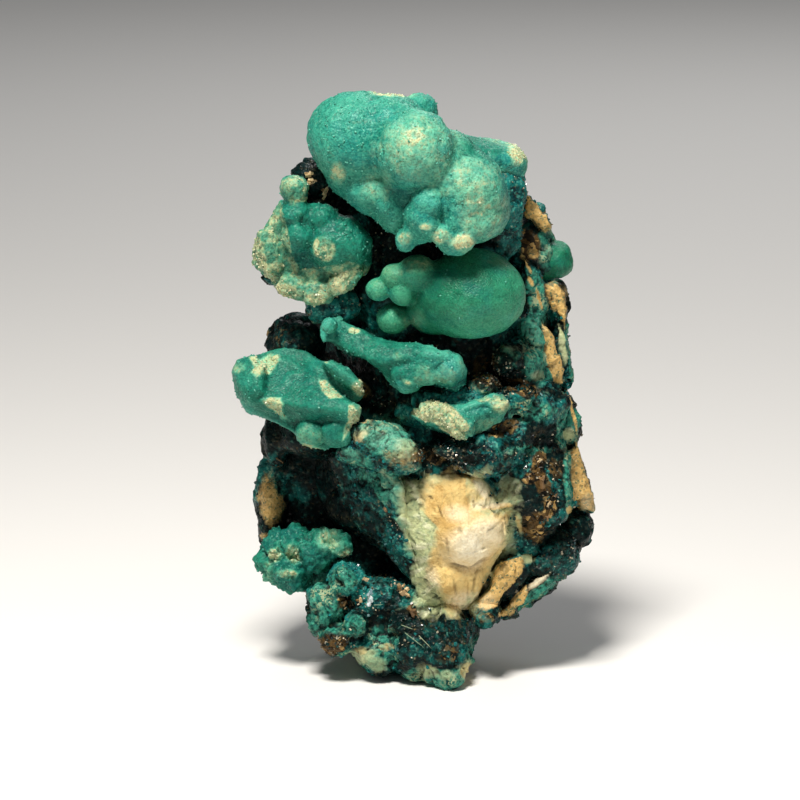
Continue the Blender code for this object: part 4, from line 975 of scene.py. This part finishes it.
def rock_piece(name, groups, voxel, fill, chipped, material, relief):
    """Chipped lumps fused to one skin, then pushed along its normals. Cream and gold are smoother.

    push = crags * layered noise + (blocks and chips: the slopes of large and small seeds)
    + druse * (a cone around each fine seed) + fibres on the cream + (cones in the teal crust) - cracks
    """
    balls = [ball for group in groups for ball in chipped[group]]
    points, faces = fused(balls, voxel)
    points = filled(relaxed(points, faces, 2), faces, fill)
    normals = normals_of(points, faces)
    shifted = bent(points, 0.8, 0.2)
    masks = rock_masks(points, normals, shifted)
    smooth = np.max([masks["cream"], masks["gold"] * (1 - 0.6 * masks["away"]), 0.8 * masks["halo"]], axis=0)
    rough = (1 - 0.75 * smooth) * (1 - 0.5 * masks["dark"])
    block = grains(shifted, BLOCK_SIZE, 23)[3]
    chip = grains(shifted, CHIP_SIZE, 24)[3]
    crystal, _, height, tilt = grains(points, DRUSE_SIZE, 33)
    fibre = fan_noise(points, FIBRE_SIZE, 36)
    push = CRAG_DEPTH * layered_noise(points, CRAG_SIZE, 13, 4)
    push += (0.35 + 0.65 * rough) * BLOCK_DEPTH * block + rough * CHIP_DEPTH * chip
    push += rough * DRUSE_DEPTH * ((0.5 - crystal) * (0.5 + height) + 0.5 * tilt)
    push += (masks["cream"] + masks["halo"]) * FIBRE_DEPTH * fibre
    push += masks["teal"] * CRUST_DEPTH * (0.5 - grains(shifted, CRUST_SIZE, 34)[0])
    push -= CRACK_DEPTH * masks["crack"]
    grounded = ramp(points[:, 2], 0, 0.5)
    points = points + normals * (push * relief * grounded)[:, None]
    points[:, 2] = np.maximum(points[:, 2], 0)
    normals = normals_of(points, faces)
    masks["fibre"] = fibre
    # hollow and dip are read by the rock material for painted shade in pits and a painted highlight on the
    # blue druse's ridges.
    masks["hollow"] = hollows(points, faces, normals, 8, 0.05)
    masks["dip"] = hollows(points, faces, normals, 40, 0.25)
    mesh = mesh_of(name, points * METRES, faces)
    store(mesh, **masks)
    placed(name, mesh, material, "rock", "rock")
    return {"points": points, "normals": normals, **masks}


def crystal_field(name, places, directions, lengths, widths, rng, tint, slot="rock"):
    """Four-sided prisms with pointed ends, one at each place, turned at random about their direction.

    Each has eight wall corners, at two levels along its direction, and a tip. A level is a share of the
    length, and the walls stand at a share of the width there.
    """
    count = len(places)
    side = np.cross(directions, rng.normal(size=(count, 3)))
    side /= np.linalg.norm(side, axis=1, keepdims=True)
    other = np.cross(directions, side)
    flat = rng.uniform(0.5, 1, count)
    corners = []
    for level, share in ((-0.35, 0.5), (0.62, 0.46)):
        for x, y in ((1, 1), (-1, 1), (-1, -1), (1, -1)):
            reach = side * (x * widths)[:, None] + other * (y * widths * flat)[:, None]
            corners.append(places + directions * (lengths * level)[:, None] + reach * share)
    corners.append(places + directions * lengths[:, None])
    points = np.stack(corners, axis=1).reshape(-1, 3)
    walls = [(a, b, b + 4) for a, b in ((0, 1), (1, 2), (2, 3), (3, 0))]
    walls += [(a, b + 4, a + 4) for a, b in ((0, 1), (1, 2), (2, 3), (3, 0))]
    ends = [(4, 5, 8), (5, 6, 8), (6, 7, 8), (7, 4, 8), (0, 3, 2), (0, 2, 1)]
    faces = (np.arange(count)[:, None, None] * 9 + np.array(walls + ends)).reshape(-1, 3)
    mesh = mesh_of(name + "_crystals", points * METRES, faces)
    mesh.polygons.foreach_set("use_smooth", np.zeros(len(mesh.polygons), bool))
    store(mesh, tint=np.repeat(tint, 9))
    placed(name + "_crystals", mesh, MATERIALS[name], slot)


def scattered(skin, weight, count, rng, lean):
    """Random points of the skin, likelier where weight is large, each with a direction near its normal."""
    weight = np.where(skin["points"][:, 2] > 0.3, weight, 0)
    chosen = rng.choice(len(weight), size=count, replace=False, p=weight / weight.sum())
    directions = skin["normals"][chosen] + lean * rng.normal(size=(count, 3))
    directions /= np.linalg.norm(directions, axis=1, keepdims=True)
    return skin["points"][chosen], directions


class Nodes:
    """A node tree and the place that its patterns follow. Most methods add nodes and give back a socket."""

    def __init__(self, tree, place):
        self.tree = tree
        self.place = place

    def set(self, socket, value):
        """The input linked to a socket, or set to a number or to a colour of three numbers."""
        if isinstance(value, bpy.types.NodeSocket):
            self.tree.links.new(value, socket)
        elif socket.type == "RGBA":
            socket.default_value = (*value, 1)
        else:
            socket.default_value = value

    def put(self, kind, inputs, **settings):
        """A new node's outputs, with its settings and its inputs."""
        made = self.tree.nodes.new(kind)
        for name, value in settings.items():
            setattr(made, name, value)
        for name, value in inputs.items():
            self.set(made.inputs[name], value)
        return made.outputs

    def maths(self, operation, first, second):
        """Two numbers joined by the operation."""
        return self.put("ShaderNodeMath", {0: first, 1: second}, operation=operation)[0]

    def times(self, first, second):
        """Two numbers multiplied."""
        return self.maths("MULTIPLY", first, second)

    def plus(self, first, second):
        """Two numbers added."""
        return self.maths("ADD", first, second)

    def mapped(self, value, low, high, bottom=0.0, top=1.0):
        """The value, with low to high stretched to run from bottom to top, and kept within them."""
        ends = {"Value": value, "From Min": low, "From Max": high, "To Min": bottom, "To Max": top}
        return self.put("ShaderNodeMapRange", ends)[0]

    def mixed(self, factor, first, second, how="MIX"):
        """The colour between first and second, or first darkened by second if how is MULTIPLY."""
        ends = {0: factor, 6: first, 7: second}
        return self.put("ShaderNodeMix", ends, data_type="RGBA", blend_type=how)[2]

    def layers(self, shade, *layers):
        """The shade under layers: each a colour and its strength, or a colour, a value and its mapping."""
        for colour, value, *ends in layers:
            shade = self.mixed(self.mapped(value, *ends) if ends else value, shade, colour)
        return shade

    def pattern(self, kind, size, **inputs):
        """A texture whose features are the given size in millimetres."""
        scale = self.maths("DIVIDE", 1 / METRES, size)
        return self.put(kind, {"Vector": self.place, "Scale": scale, **inputs})

    def effect(self, name, **inputs):
        """A placed node group's outputs."""
        made = self.tree.nodes.new("ShaderNodeGroup")
        made.node_tree = bpy.data.node_groups[name]
        for label, value in inputs.items():
            self.set(made.inputs[label], value)
        self.set(made.inputs["Place"], self.place)
        return made.outputs

    def mottle(self, size):
        """Soft blotches of this size in millimetres, from 0 to 1."""
        return self.effect("Mottle", Size=size)["Factor"]

    def grain(self, size):
        """Crystal cells of this size in millimetres: the Height over each and its own random Cell number."""
        return self.effect("Crystal grain", Size=size)

    def kept(self, name):
        """The number that the mesh keeps on its points under this name."""
        return self.put("ShaderNodeAttribute", {}, attribute_name=name)["Fac"]

    def mask(self, name, size=0.25, strength=0.9):
        """A mask kept on the points, with its edge broken up."""
        return self.effect("Ragged edge", Mask=self.kept(name), Size=size, Strength=strength)["Mask"]


def new_group(name, inputs, outputs):
    """An empty node group with these number inputs and outputs: its nodes and its two ends' sockets."""
    tree = bpy.data.node_groups.new(name, "ShaderNodeTree")
    tree.interface.new_socket("Place", in_out="INPUT", socket_type="NodeSocketVector")
    for label, value in inputs.items():
        tree.interface.new_socket(label, in_out="INPUT", socket_type="NodeSocketFloat").default_value = value
    for label in outputs:
        tree.interface.new_socket(label, in_out="OUTPUT", socket_type="NodeSocketFloat")
    given = tree.nodes.new("NodeGroupInput").outputs
    return Nodes(tree, given["Place"]), given, tree.nodes.new("NodeGroupOutput").inputs


def grain_group():
    """Crystal grain: cells of the given size in millimetres, as a height and as a number for each cell."""
    nodes, given, result = new_group("Crystal grain", {"Size": 0.15}, ("Height", "Cell"))
    cells = nodes.pattern("ShaderNodeTexVoronoi", given["Size"])
    nodes.set(result["Height"], nodes.maths("SUBTRACT", 1.0, cells["Distance"]))
    nodes.set(result["Cell"], nodes.put("ShaderNodeSeparateColor", {"Color": cells["Color"]})[0])


def mottle_group():
    """Mottle: layered noise of the given size in millimetres, stretched to run from 0 to 1."""
    nodes, given, result = new_group("Mottle", {"Size": 1.0}, ("Factor",))
    noise = nodes.pattern("ShaderNodeTexNoise", given["Size"], Detail=4.0)
    nodes.set(result["Factor"], nodes.mapped(noise["Fac"], 0.3, 0.7))


def ragged_group():
    """Ragged edge: a mask whose soft edge is broken up by fine noise."""
    nodes, given, result = new_group("Ragged edge", {"Mask": 0.0, "Size": 0.2, "Strength": 0.6}, ("Mask",))
    noise = nodes.pattern("ShaderNodeTexNoise", given["Size"], Detail=4.0)
    centred = nodes.maths("SUBTRACT", noise["Fac"], 0.5)
    total = nodes.plus(given["Mask"], nodes.times(centred, given["Strength"]))
    nodes.set(result["Mask"], nodes.mapped(total, 0.15, 0.85))


def new_material(name, **constants):
    """A material, its nodes and the inputs of its Principled BSDF."""
    material = bpy.data.materials.new(name)
    material.use_nodes = True
    tree = material.node_tree
    surface = tree.nodes["Principled BSDF"].inputs
    for label, value in constants.items():
        surface[label.replace("_", " ")].default_value = value
    return material, Nodes(tree, tree.nodes.new("ShaderNodeTexCoord").outputs["Object"]), surface


def finished(nodes, surface, shade, rough, height, depth):
    """Gives the surface its colour, its roughness and a bump of the depth in millimetres."""
    bump = nodes.put("ShaderNodeBump", {"Strength": 0.8, "Distance": depth * METRES, "Height": height})
    for label, socket in (("Base Color", shade), ("Roughness", rough), ("Normal", bump[0])):
        nodes.set(surface[label], socket)


def crust_material(colours, name, base, light, deep, pale_base, roughness, grain, wax, speckle):
    """Frosted crust: mottled blue-green with cream patches, paler on ridges as a painted highlight, deeper in
    hollows as painted shade, and deeper in patches that are partly painted shade.
    """
    material, nodes, surface = new_material(
        name, Specular_IOR_Level=0.2, Subsurface_Weight=wax, Subsurface_Scale=0.5 * METRES,
        Subsurface_Radius=(0.4, 1.0, 0.8))
    times, plus, mapped = nodes.times, nodes.plus, nodes.mapped
    small, fine, frost = nodes.mottle(0.5), nodes.grain(grain), nodes.grain(0.075)
    cell = frost["Cell"]
    bumps = plus(nodes.kept("hollow"), nodes.kept("dip"))
    # On the ridges found by the hollow and dip masks, the light colour laid by this is a painted highlight.
    # Where it follows the large mottle, it is the crust's own paler blotches.
    ridge_highlight_and_mottle = plus(times(nodes.mottle(2.2), 0.4), times(mapped(bumps, 0.1, -1.3), 0.6))
    shade = nodes.layers(
        base,
        (light, ridge_highlight_and_mottle),
        ((0.004, 0.24, 0.23), nodes.mottle(1.4), 0.45, 1, 0, 0.5),
        (deep, times(small, 0.3)),
        # The deep colour in the hollows is painted shade.
        (deep, bumps, 0.1, 1.4, 0, 0.9),
        (colours.blue, nodes.mask("blue")),
    )
    share = plus(times(nodes.grain(0.16)["Cell"], 0.7), times(small, 0.6))
    share = nodes.maths("SUBTRACT", share, times(mapped(bumps, 0, 0.8), 0.5))
    share = plus(share, mapped(nodes.kept("pale"), 0.5, 1, -0.3, 0.35))
    pale = nodes.layers(
        pale_base,
        (colours.pale_crystal, share, 0.2, 1),
        ((0.10, 0.13, 0.06), cell, 0.4, 0, 0, 0.2 + 0.3 * speckle),
    )
    patch = nodes.mask("pale", 0.2, 0.3 + 0.5 * speckle)
    shade = nodes.layers(
        shade,
        (pale, patch),
        (light, cell, 0.5, 1, 0, 0.5),
        (deep, cell, 0.5, 0, 0, 0.3 + 0.25 * speckle),
        # Pale specks on a few fine cells: partly pale crystals, partly painted glints.
        (colours.pale_crystal, fine["Cell"], 0.92, 1, 0, 0.25 * speckle),
    )
    # The deep mask multiplies in a darker blue-green, less in the pale patches: partly the crust's own deeper
    # tone, partly painted shade.
    deeper = times(nodes.mask("deep", 0.4, 0.3), mapped(patch, 0, 1, 1, 0.2))
    shade = nodes.mixed(deeper, shade, (0.22, 0.55, 0.51), "MULTIPLY")
    rough = mapped(cell, 0, 1, roughness + 0.15, roughness - 0.2)
    finished(nodes, surface, shade, rough, plus(times(frost["Height"], 0.5), fine["Height"]), 0.03)
    return material


def rock_material(colours):
    """Dark glittering rock with blue and teal druse, rusty seams, golden strips and cream patches, with
    painted shade in its pits and painted glints.
    """
    material, nodes, surface = new_material("rock", Specular_IOR_Level=0.1)
    times, plus, mapped, kept, mask = nodes.times, nodes.plus, nodes.mapped, nodes.kept, nodes.mask
    broad, small, tiny = (nodes.mottle(size) for size in (0.9, 0.3, 0.12))
    grain = nodes.grain(0.13)
    sparkle, scrap = (nodes.grain(size)["Cell"] for size in (0.1, 0.28))
    fibre, whitest_and_highlight = kept("fibre"), kept("white_and_highlight")
    bumps = plus(kept("hollow"), kept("dip"))
    # pit grows into the rock's hollows, and lays painted shade there.
    pit = mapped(bumps, 0, 1.2)
    share = plus(times(broad, 0.8), times(tiny, 0.4))
    dark = nodes.layers(
        colours.dark,
        ((0.001, 0.016, 0.016), small),
        ((0.012, 0.011, 0.006), broad, 0.6, 1, 0, 0.6),
    )
    # Blue druse: its deep colour is painted shade between the crystals, the blue laid on ridges is a painted
    # highlight, and its pale cells are painted glints.
    blue = nodes.layers(
        colours.blue_deep_and_shade,
        (colours.blue, share, 0.4, 1),
        (colours.blue, times(mapped(bumps, 0, -1.2), 0.6)),
        ((0.08, 0.36, 0.29), sparkle, 0.75, 1, 0, 0.8),
    )
    fleck = times(mapped(sparkle, 0.45, 0.55), mapped(broad, 0.55, 0.9))
    teal = nodes.layers(
        colours.teal,
        (colours.crust_light_and_highlight, times(small, 0.7)),
        (colours.blue_deep_and_shade, sparkle, 0.5, 0, 0, 0.7),
        # Painted shade in the teal crust's pits.
        (colours.blue_deep_and_shade, times(pit, 0.7)),
        (colours.pale_crystal, times(fleck, 0.55)),
        ((0.17, 0.46, 0.32), times(whitest_and_highlight, mapped(tiny, 0.8, 0.2, 0.3, 0.9))),
    )
    rust = nodes.layers(
        (0.012, 0.010, 0.006),
        (colours.rust, scrap, 0.2, 0.7),
        (colours.gold, scrap, 0.85, 1, 0, 0.8),
    )
    halo = nodes.layers(
        (0.48, 0.52, 0.27),
        (colours.teal, small, 0.4, 1, 0, 0.5),
        ((0.74, 0.73, 0.50), fibre, 0, 0.6, 0, 0.9),
    )
    stained = times(kept("stain"), mapped(share, 0.3, 0.8))
    # The palest cream, partly a painted highlight on the knob's bulge.
    white_and_highlight = times(whitest_and_highlight, mapped(tiny, 0.9, 0.1, 0.65, 1))
    cream = nodes.layers(
        colours.gold,
        (colours.cream, fibre, -0.7, 0),
        (colours.gold, tiny, 0.5, 1, 0, 0.45),
        ((0.50, 0.30, 0.09), times(stained, 0.85)),
        ((0.95, 0.87, 0.66), white_and_highlight),
        ((0.10, 0.055, 0.015), kept("crack")),
    )
    gold = nodes.layers(
        colours.gold,
        (colours.tan, share, 0.5, 1.1, 0, 0.8),
        ((0.19, 0.14, 0.05), scrap, 0.35, 0, 0, 0.75),
        (colours.teal, sparkle, 0.25, 0.05, 0, 0.7),
        ((0.80, 0.60, 0.29), sparkle, 0.8, 1, 0, 0.5),
        ((0.86, 0.72, 0.46), times(white_and_highlight, 0.8)),
    )
    cream_share = mask("cream", 0.25, 0.8)
    shade = nodes.layers(
        dark,
        (blue, mask("blue", 0.3, 1.3)),
        (teal, mask("teal", 0.3, 1.3)),
        (halo, mask("halo", 0.3, 1.0)),
        (rust, mask("rust", 0.25, 1.4)),
        (gold, mask("gold", 0.2, 1.0)),
        (cream, cream_share),
        # Painted shade in the rock's pits, less on the cream.
        (colours.dark, times(pit, mapped(cream_share, 0, 1, 0.8, 0.4))),
        # Pale flecks on the brightest tenth of the grains: painted glints.
        ((0.30, 0.28, 0.17), grain["Cell"], 0.9, 1, 0, 0.15),
    )
    rough = nodes.maths("MAXIMUM", mapped(grain["Cell"], 0, 1, 0.55, 0.15), times(cream_share, 0.7))
    finished(nodes, surface, shade, rough, plus(grain["Height"], small), 0.04)
    return material


def crystal_material(name, first, second, roughness):
    """Glassy crystal faces whose colour differs from crystal to crystal."""
    material, nodes, surface = new_material(name, Roughness=roughness, Specular_IOR_Level=0.4)
    shade = nodes.layers(first, (second, nodes.kept("tint")), (first, nodes.times(nodes.mottle(0.3), 0.5)))
    nodes.set(surface["Base Color"], shade)
    return material


# The crystals' materials: name, darkest colour, lightest colour and roughness.
CRYSTAL_LOOKS = {
    "dark": ("dark druse", (0.004, 0.007, 0.006), (0.01, 0.07, 0.065), 0.2),
    "blue": ("blue druse", (0.003, 0.05, 0.055), (0.02, 0.26, 0.24), 0.2),
    "glitter": ("glitter", (0.10, 0.085, 0.05), (0.85, 0.76, 0.56), 0.15),
    "sugar": ("sugary crystals", (0.28, 0.35, 0.19), (0.74, 0.70, 0.46), 0.3),
    "frost": ("frost crystals", (0.02, 0.22, 0.16), (0.13, 0.46, 0.34), 0.45),
    "rusty": ("rusty crystals", (0.015, 0.010, 0.005), (0.26, 0.155, 0.055), 0.25),
    "golden": ("golden crystals", (0.16, 0.09, 0.03), (0.80, 0.62, 0.36), 0.2),
    "glassy": ("glassy crystals", (0.08, 0.22, 0.28), (0.75, 0.80, 0.78), 0.08),
    "tan": ("tan crystals", (0.10, 0.055, 0.022), (0.30, 0.18, 0.08), 0.3),
    "pale_needle": ("pale needles", (0.16, 0.24, 0.15), (0.40, 0.45, 0.28), 0.3),
}
# The larger crystals as they are seen: right, up, length, width and turn in degrees.
LARGE_CRYSTALS = {
    "golden": [
        (-5.15, 24.4, 0.45, 0.34, 5), (-5.05, 24.15, 0.4, 0.3, -10), (-4.35, 23.7, 0.62, 0.32, 65),
        (-0.8, 4.15, 0.5, 0.42, 120), (-0.55, 3.95, 0.42, 0.36, 60), (-0.35, 3.75, 0.4, 0.26, -30),
        (-2.7, 3.6, 0.36, 0.26, 100), (-3.45, 3.4, 0.4, 0.16, 70), (-2.4, 4.5, 0.4, 0.22, -40),
        (5.6, 9.6, 0.34, 0.16, 150), (6.2, 10.45, 0.3, 0.16, 40), (6.55, 8.3, 0.32, 0.14, 70),
    ],
    "glassy": [(-2.17, 4.0, 0.4, 0.2, 90), (-2.2, 3.65, 0.42, 0.38, 80)],
    "tan": [
        (-0.05, 2.9, 0.85, 0.42, -45), (6.2, 9.4, 0.7, 0.3, 100), (6.95, 8.75, 0.25, 0.12, 60),
        (6.5, 7.6, 0.3, 0.14, 95), (-1.5, 8.0, 0.3, 0.2, 130), (-6.7, 10.35, 0.5, 0.12, -35),
    ],
    "pale_needle": [
        (0.1, 1.5, 1.5, 0.07, -38), (0.6, 1.4, 1.2, 0.06, -46), (-1.75, 3.3, 0.6, 0.06, 4),
        (-0.3, 2.2, 0.8, 0.06, -20), (0.45, 9.85, 0.5, 0.06, 85), (2.6, 17.1, 0.3, 0.06, 60),
    ],
}
# A sprinkle of small crystals: the skin it grows on, how likely each point is, how many crystals there are,
# how far they lean, the least and the most of their lengths and of their widths as shares of the lengths,
# a power that makes more of them dark when it is larger, and its slot.
Sprinkle = namedtuple("Sprinkle", "skin weight count lean lengths widths gloom slot", defaults=(1.5, "rock"))
MATERIALS = {}
SKIN = {}
CRUST_SKIN = {}


class SPECIMEN_OT_materials(Operator):
    """Makes the shared node groups and the materials."""

    bl_idname = "specimen.materials"
    bl_label = "Make materials"

    def execute(self, context):
        for make in (grain_group, mottle_group, ragged_group):
            make()
        colours = context.scene.specimen_colours
        blue_green = (colours.crust, colours.crust_light_and_highlight, colours.crust_deep_and_shade)
        # The green crust's paler colour is its painted highlight on ridges and its paler blotches. Its deeper
        # colour is its painted shade in hollows and its darker blotches.
        sea_green = (colours.green, (0.08, 0.38, 0.215), (0.002, 0.095, 0.055))
        for slot, *look in (
            ("crust", "frosted crust", *blue_green, (0.25, 0.58, 0.36), 0.5, 0.12, 0.15, 0.3),
            ("pale_crust", "pale crust", *blue_green, colours.pale, 0.5, 0.15, 0.15, 0.55),
            ("green_crust", "green crust", *sea_green, colours.pale, 0.45, 0.09, 0.25, 0.3),
        ):
            MATERIALS[slot] = crust_material(colours, *look)
        MATERIALS["rock"] = rock_material(colours)
        for name, look in CRYSTAL_LOOKS.items():
            MATERIALS[name] = crystal_material(*look)
        return {"FINISHED"}


class SPECIMEN_OT_growths(Operator):
    """Makes the blue-green growths."""

    bl_idname = "specimen.growths"
    bl_label = "Make growths"

    def execute(self, context):
        skins = [growth_piece(name, growth, MATERIALS[growth.slot]) for name, growth in GROWTHS.items()]
        for label in skins[0]:
            CRUST_SKIN[label] = np.concatenate([skin[label] for skin in skins])
        return {"FINISHED"}


class SPECIMEN_OT_rock(Operator):
    """Makes the rock with its cream knob, rim and foot."""

    bl_idname = "specimen.rock"
    bl_label = "Make rock"

    def execute(self, context):
        rng = np.random.default_rng(ROCK_SEED)
        chipped = {group: [lump_points(lump, rng) for lump in lumps] for group, lumps in ROCK.items()}
        for balls in chipped.values():
            for ball in balls:
                ball[:, 2] = np.maximum(ball[:, 2], 0)
        relief = context.scene.specimen_detail.relief
        skins = []
        for name, (groups, voxel, fill) in ROCK_PIECES.items():
            skins.append(rock_piece(name, groups, voxel, fill, chipped, MATERIALS["rock"], relief))
        for label in skins[0]:
            SKIN[label] = np.concatenate([skin[label] for skin in skins])
        return {"FINISHED"}


class SPECIMEN_OT_crystals(Operator):
    """Scatters the small crystals over the rock and the crusts, and lays the larger ones in their places."""

    bl_idname = "specimen.crystals"
    bl_label = "Grow crystals"

    def sprinkles(self, detail):
        """The small crystals: druse where the rock is bare, brown ones in its seams, pale ones on crust."""
        bare = (1 - SKIN["cream"]) * (1 - SKIN["gold"]) * (1 - SKIN["halo"]) * (1 - 0.9 * SKIN["teal"])
        sunk = bare * ramp(SKIN["dip"], -0.5, 0.1)
        patchy = ramp(layered_noise(SKIN["points"], 0.9, 101), -0.1, 0.25)
        seam = sunk * (0.03 + SKIN["dark"] * SKIN["glitter"])
        bright = bare * (0.2 + patchy) * (0.02 + SKIN["glitter"])
        pale = CRUST_SKIN["pale"]
        frosted = (1 - pale) ** 2 * (1 - 0.9 * CRUST_SKIN["green"])
        rusty = bare * patchy * SKIN["rust"] ** 2
        cream = ramp(pale, 0.4, 1) ** 2
        fine = (0.8, (0.04, 0.1), (0.6, 1.2), 1)
        return {
            "dark": Sprinkle(SKIN, seam, detail.druse_count, 1, (0.06, 0.16), (0.5, 1.1)),
            "blue": Sprinkle(SKIN, sunk * SKIN["blue"], detail.druse_count, 1, (0.07, 0.18), (0.5, 1.1)),
            "glitter": Sprinkle(SKIN, bright, detail.glitter_count, 1.5, (0.03, 0.1), (0.6, 1.2)),
            "rusty": Sprinkle(SKIN, rusty, detail.rust_count, 1.2, (0.05, 0.2), (0.2, 0.5)),
            "sugar": Sprinkle(CRUST_SKIN, cream, detail.sugar_count, *fine, "pale_crust"),
            "frost": Sprinkle(CRUST_SKIN, frosted, detail.frost_count, *fine, "crust"),
        }

    def execute(self, context):
        rng = np.random.default_rng(CRYSTAL_SEED)
        for name, grown in self.sprinkles(context.scene.specimen_detail).items():
            places, directions = scattered(grown.skin, grown.weight, grown.count, rng, grown.lean)
            lengths = rng.uniform(*grown.lengths, grown.count)
            widths = lengths * rng.uniform(*grown.widths, grown.count)
            tint = rng.uniform(0, 1, grown.count) ** grown.gloom
            crystal_field(name, places, directions, lengths, widths, rng, tint, grown.slot)
        right, up, front = seen(SKIN["points"])
        for name, crystals in LARGE_CRYSTALS.items():
            places, directions = [], []
            for across, rise, length, width, turn in crystals:
                # it lies on the rock that is furthest in front nearby
                near = np.hypot(right - across, up - rise) < LAID_WITHIN
                ahead = front[near].max() + 0.1 * width
                along = seen_place(cos(radians(turn)), sin(radians(turn)), 0.0)
                places.append(seen_place(across, rise, ahead) - along * length * 0.3)
                directions.append(along / np.linalg.norm(along))
            lengths, widths = np.array(crystals).T[2:4]
            places, directions = np.array(places), np.array(directions)
            fields = [(places, directions, lengths * 0.6, widths * 0.55)]
            # three smaller ones grow beside each, but not beside a needle
            for share in (0.45, 0.4, 0.3) if name != "pale_needle" else ():
                beside = places + directions * (lengths * rng.uniform(-0.2, 0.5, len(places)))[:, None]
                beside += 0.25 * widths[:, None] * rng.normal(size=places.shape)
                turned = directions + 0.8 * rng.normal(size=places.shape)
                turned /= np.linalg.norm(turned, axis=1, keepdims=True)
                fields.append((beside, turned, lengths * share, widths * share))
            places, directions, lengths, widths = (np.concatenate(part) for part in zip(*fields))
            crystal_field(name, places, directions, lengths, widths, rng, rng.uniform(0, 1, len(places)))
        return {"FINISHED"}


def soft_light(name, place, size, power, colour=(1, 1, 1)):
    """A square lamp that shines on the specimen's middle."""
    lamp = bpy.data.lights.new(name, "AREA")
    lamp.energy = power
    lamp.size = size
    lamp.color = colour
    obj = bpy.data.objects.new(name, lamp)
    bpy.context.scene.collection.objects.link(obj)
    obj.location = place
    obj.rotation_euler = (Vector((0, 0, LIGHT_AIM)) - Vector(place)).to_track_quat("-Z", "Y").to_euler()


class SPECIMEN_OT_stage(Operator):
    """Makes the floor, the soft lights and the camera."""

    bl_idname = "specimen.stage"
    bl_label = "Set the stage"

    def execute(self, context):
        scene = context.scene
        corners = np.array([(-1, -1, 0), (1, -1, 0), (1, 1, 0), (-1, 1, 0)]) * FLOOR_SIDE / 2
        floor = bpy.data.objects.new("floor", mesh_of("floor", corners, np.array([[0, 1, 2, 3]])))
        scene.collection.objects.link(floor)
        pale_floor = new_material("pale floor", Roughness=0.8, Base_Color=(0.78, 0.77, 0.75, 1))[0]
        floor.data.materials.append(pale_floor)

        soft_light("key", (-0.02, -0.058, 0.135), size=0.035, power=0.32, colour=(1.0, 0.96, 0.9))
        soft_light("fill", (0.20, -0.12, 0.08), size=0.16, power=0.05)
        soft_light("rim", (0.05, 0.20, 0.16), size=0.12, power=0.14)
        scene.world = bpy.data.worlds.new("studio")
        scene.world.use_nodes = True
        background = scene.world.node_tree.nodes["Background"].inputs
        background["Color"].default_value = (0.95, 0.97, 1.0, 1)
        background["Strength"].default_value = 0.12
        scene.view_settings.view_transform = "Standard"

        forward = Vector((0, cos(LOOK_DOWN), -sin(LOOK_DOWN)))
        upward = Vector((0, sin(LOOK_DOWN), cos(LOOK_DOWN)))
        lens = bpy.data.cameras.new("camera")
        lens.lens = 225
        lens.sensor_width = 36
        lens.clip_start = 0.01
        camera = bpy.data.objects.new("camera", lens)
        scene.collection.objects.link(camera)
        aim = Vector((-0.00075, 0, 0)) + upward * 0.0134
        camera.location = aim - forward * CAMERA_FAR
        camera.rotation_euler = forward.to_track_quat("-Z", "Y").to_euler()
        scene.camera = camera
        return {"FINISHED"}


class SPECIMEN_PT_panel(Panel):
    """Lists the specimen's colours, its detail and the steps that make it."""

    bl_idname = "SPECIMEN_PT_panel"
    bl_label = "Mineral specimen"
    bl_space_type = "VIEW_3D"
    bl_region_type = "UI"
    bl_category = "Specimen"

    def draw(self, context):
        for group in (context.scene.specimen_colours, context.scene.specimen_detail):
            for name in group.__annotations__:
                self.layout.prop(group, name)
        for operator in OPERATORS:
            self.layout.operator(operator.bl_idname)


PROPERTY_GROUPS = (SpecimenColours, SpecimenDetail)
OPERATORS = (
    SPECIMEN_OT_materials,
    SPECIMEN_OT_growths,
    SPECIMEN_OT_rock,
    SPECIMEN_OT_crystals,
    SPECIMEN_OT_stage,
)


def register():
    """Adds the classes and their settings to Blender."""
    for made in (*PROPERTY_GROUPS, *OPERATORS, SPECIMEN_PT_panel):
        bpy.utils.register_class(made)
    bpy.types.Scene.specimen_colours = PointerProperty(type=SpecimenColours)
    bpy.types.Scene.specimen_detail = PointerProperty(type=SpecimenDetail)


def unregister():
    """Takes them out again."""
    del bpy.types.Scene.specimen_detail
    del bpy.types.Scene.specimen_colours
    for made in (SPECIMEN_PT_panel, *reversed(OPERATORS), *reversed(PROPERTY_GROUPS)):
        bpy.utils.unregister_class(made)


def main():
    """Runs the steps in order."""
    register()
    bpy.ops.specimen.materials()
    bpy.ops.specimen.growths()
    bpy.ops.specimen.rock()
    bpy.ops.specimen.crystals()
    bpy.ops.specimen.stage()


if __name__ == "__main__":
    main()
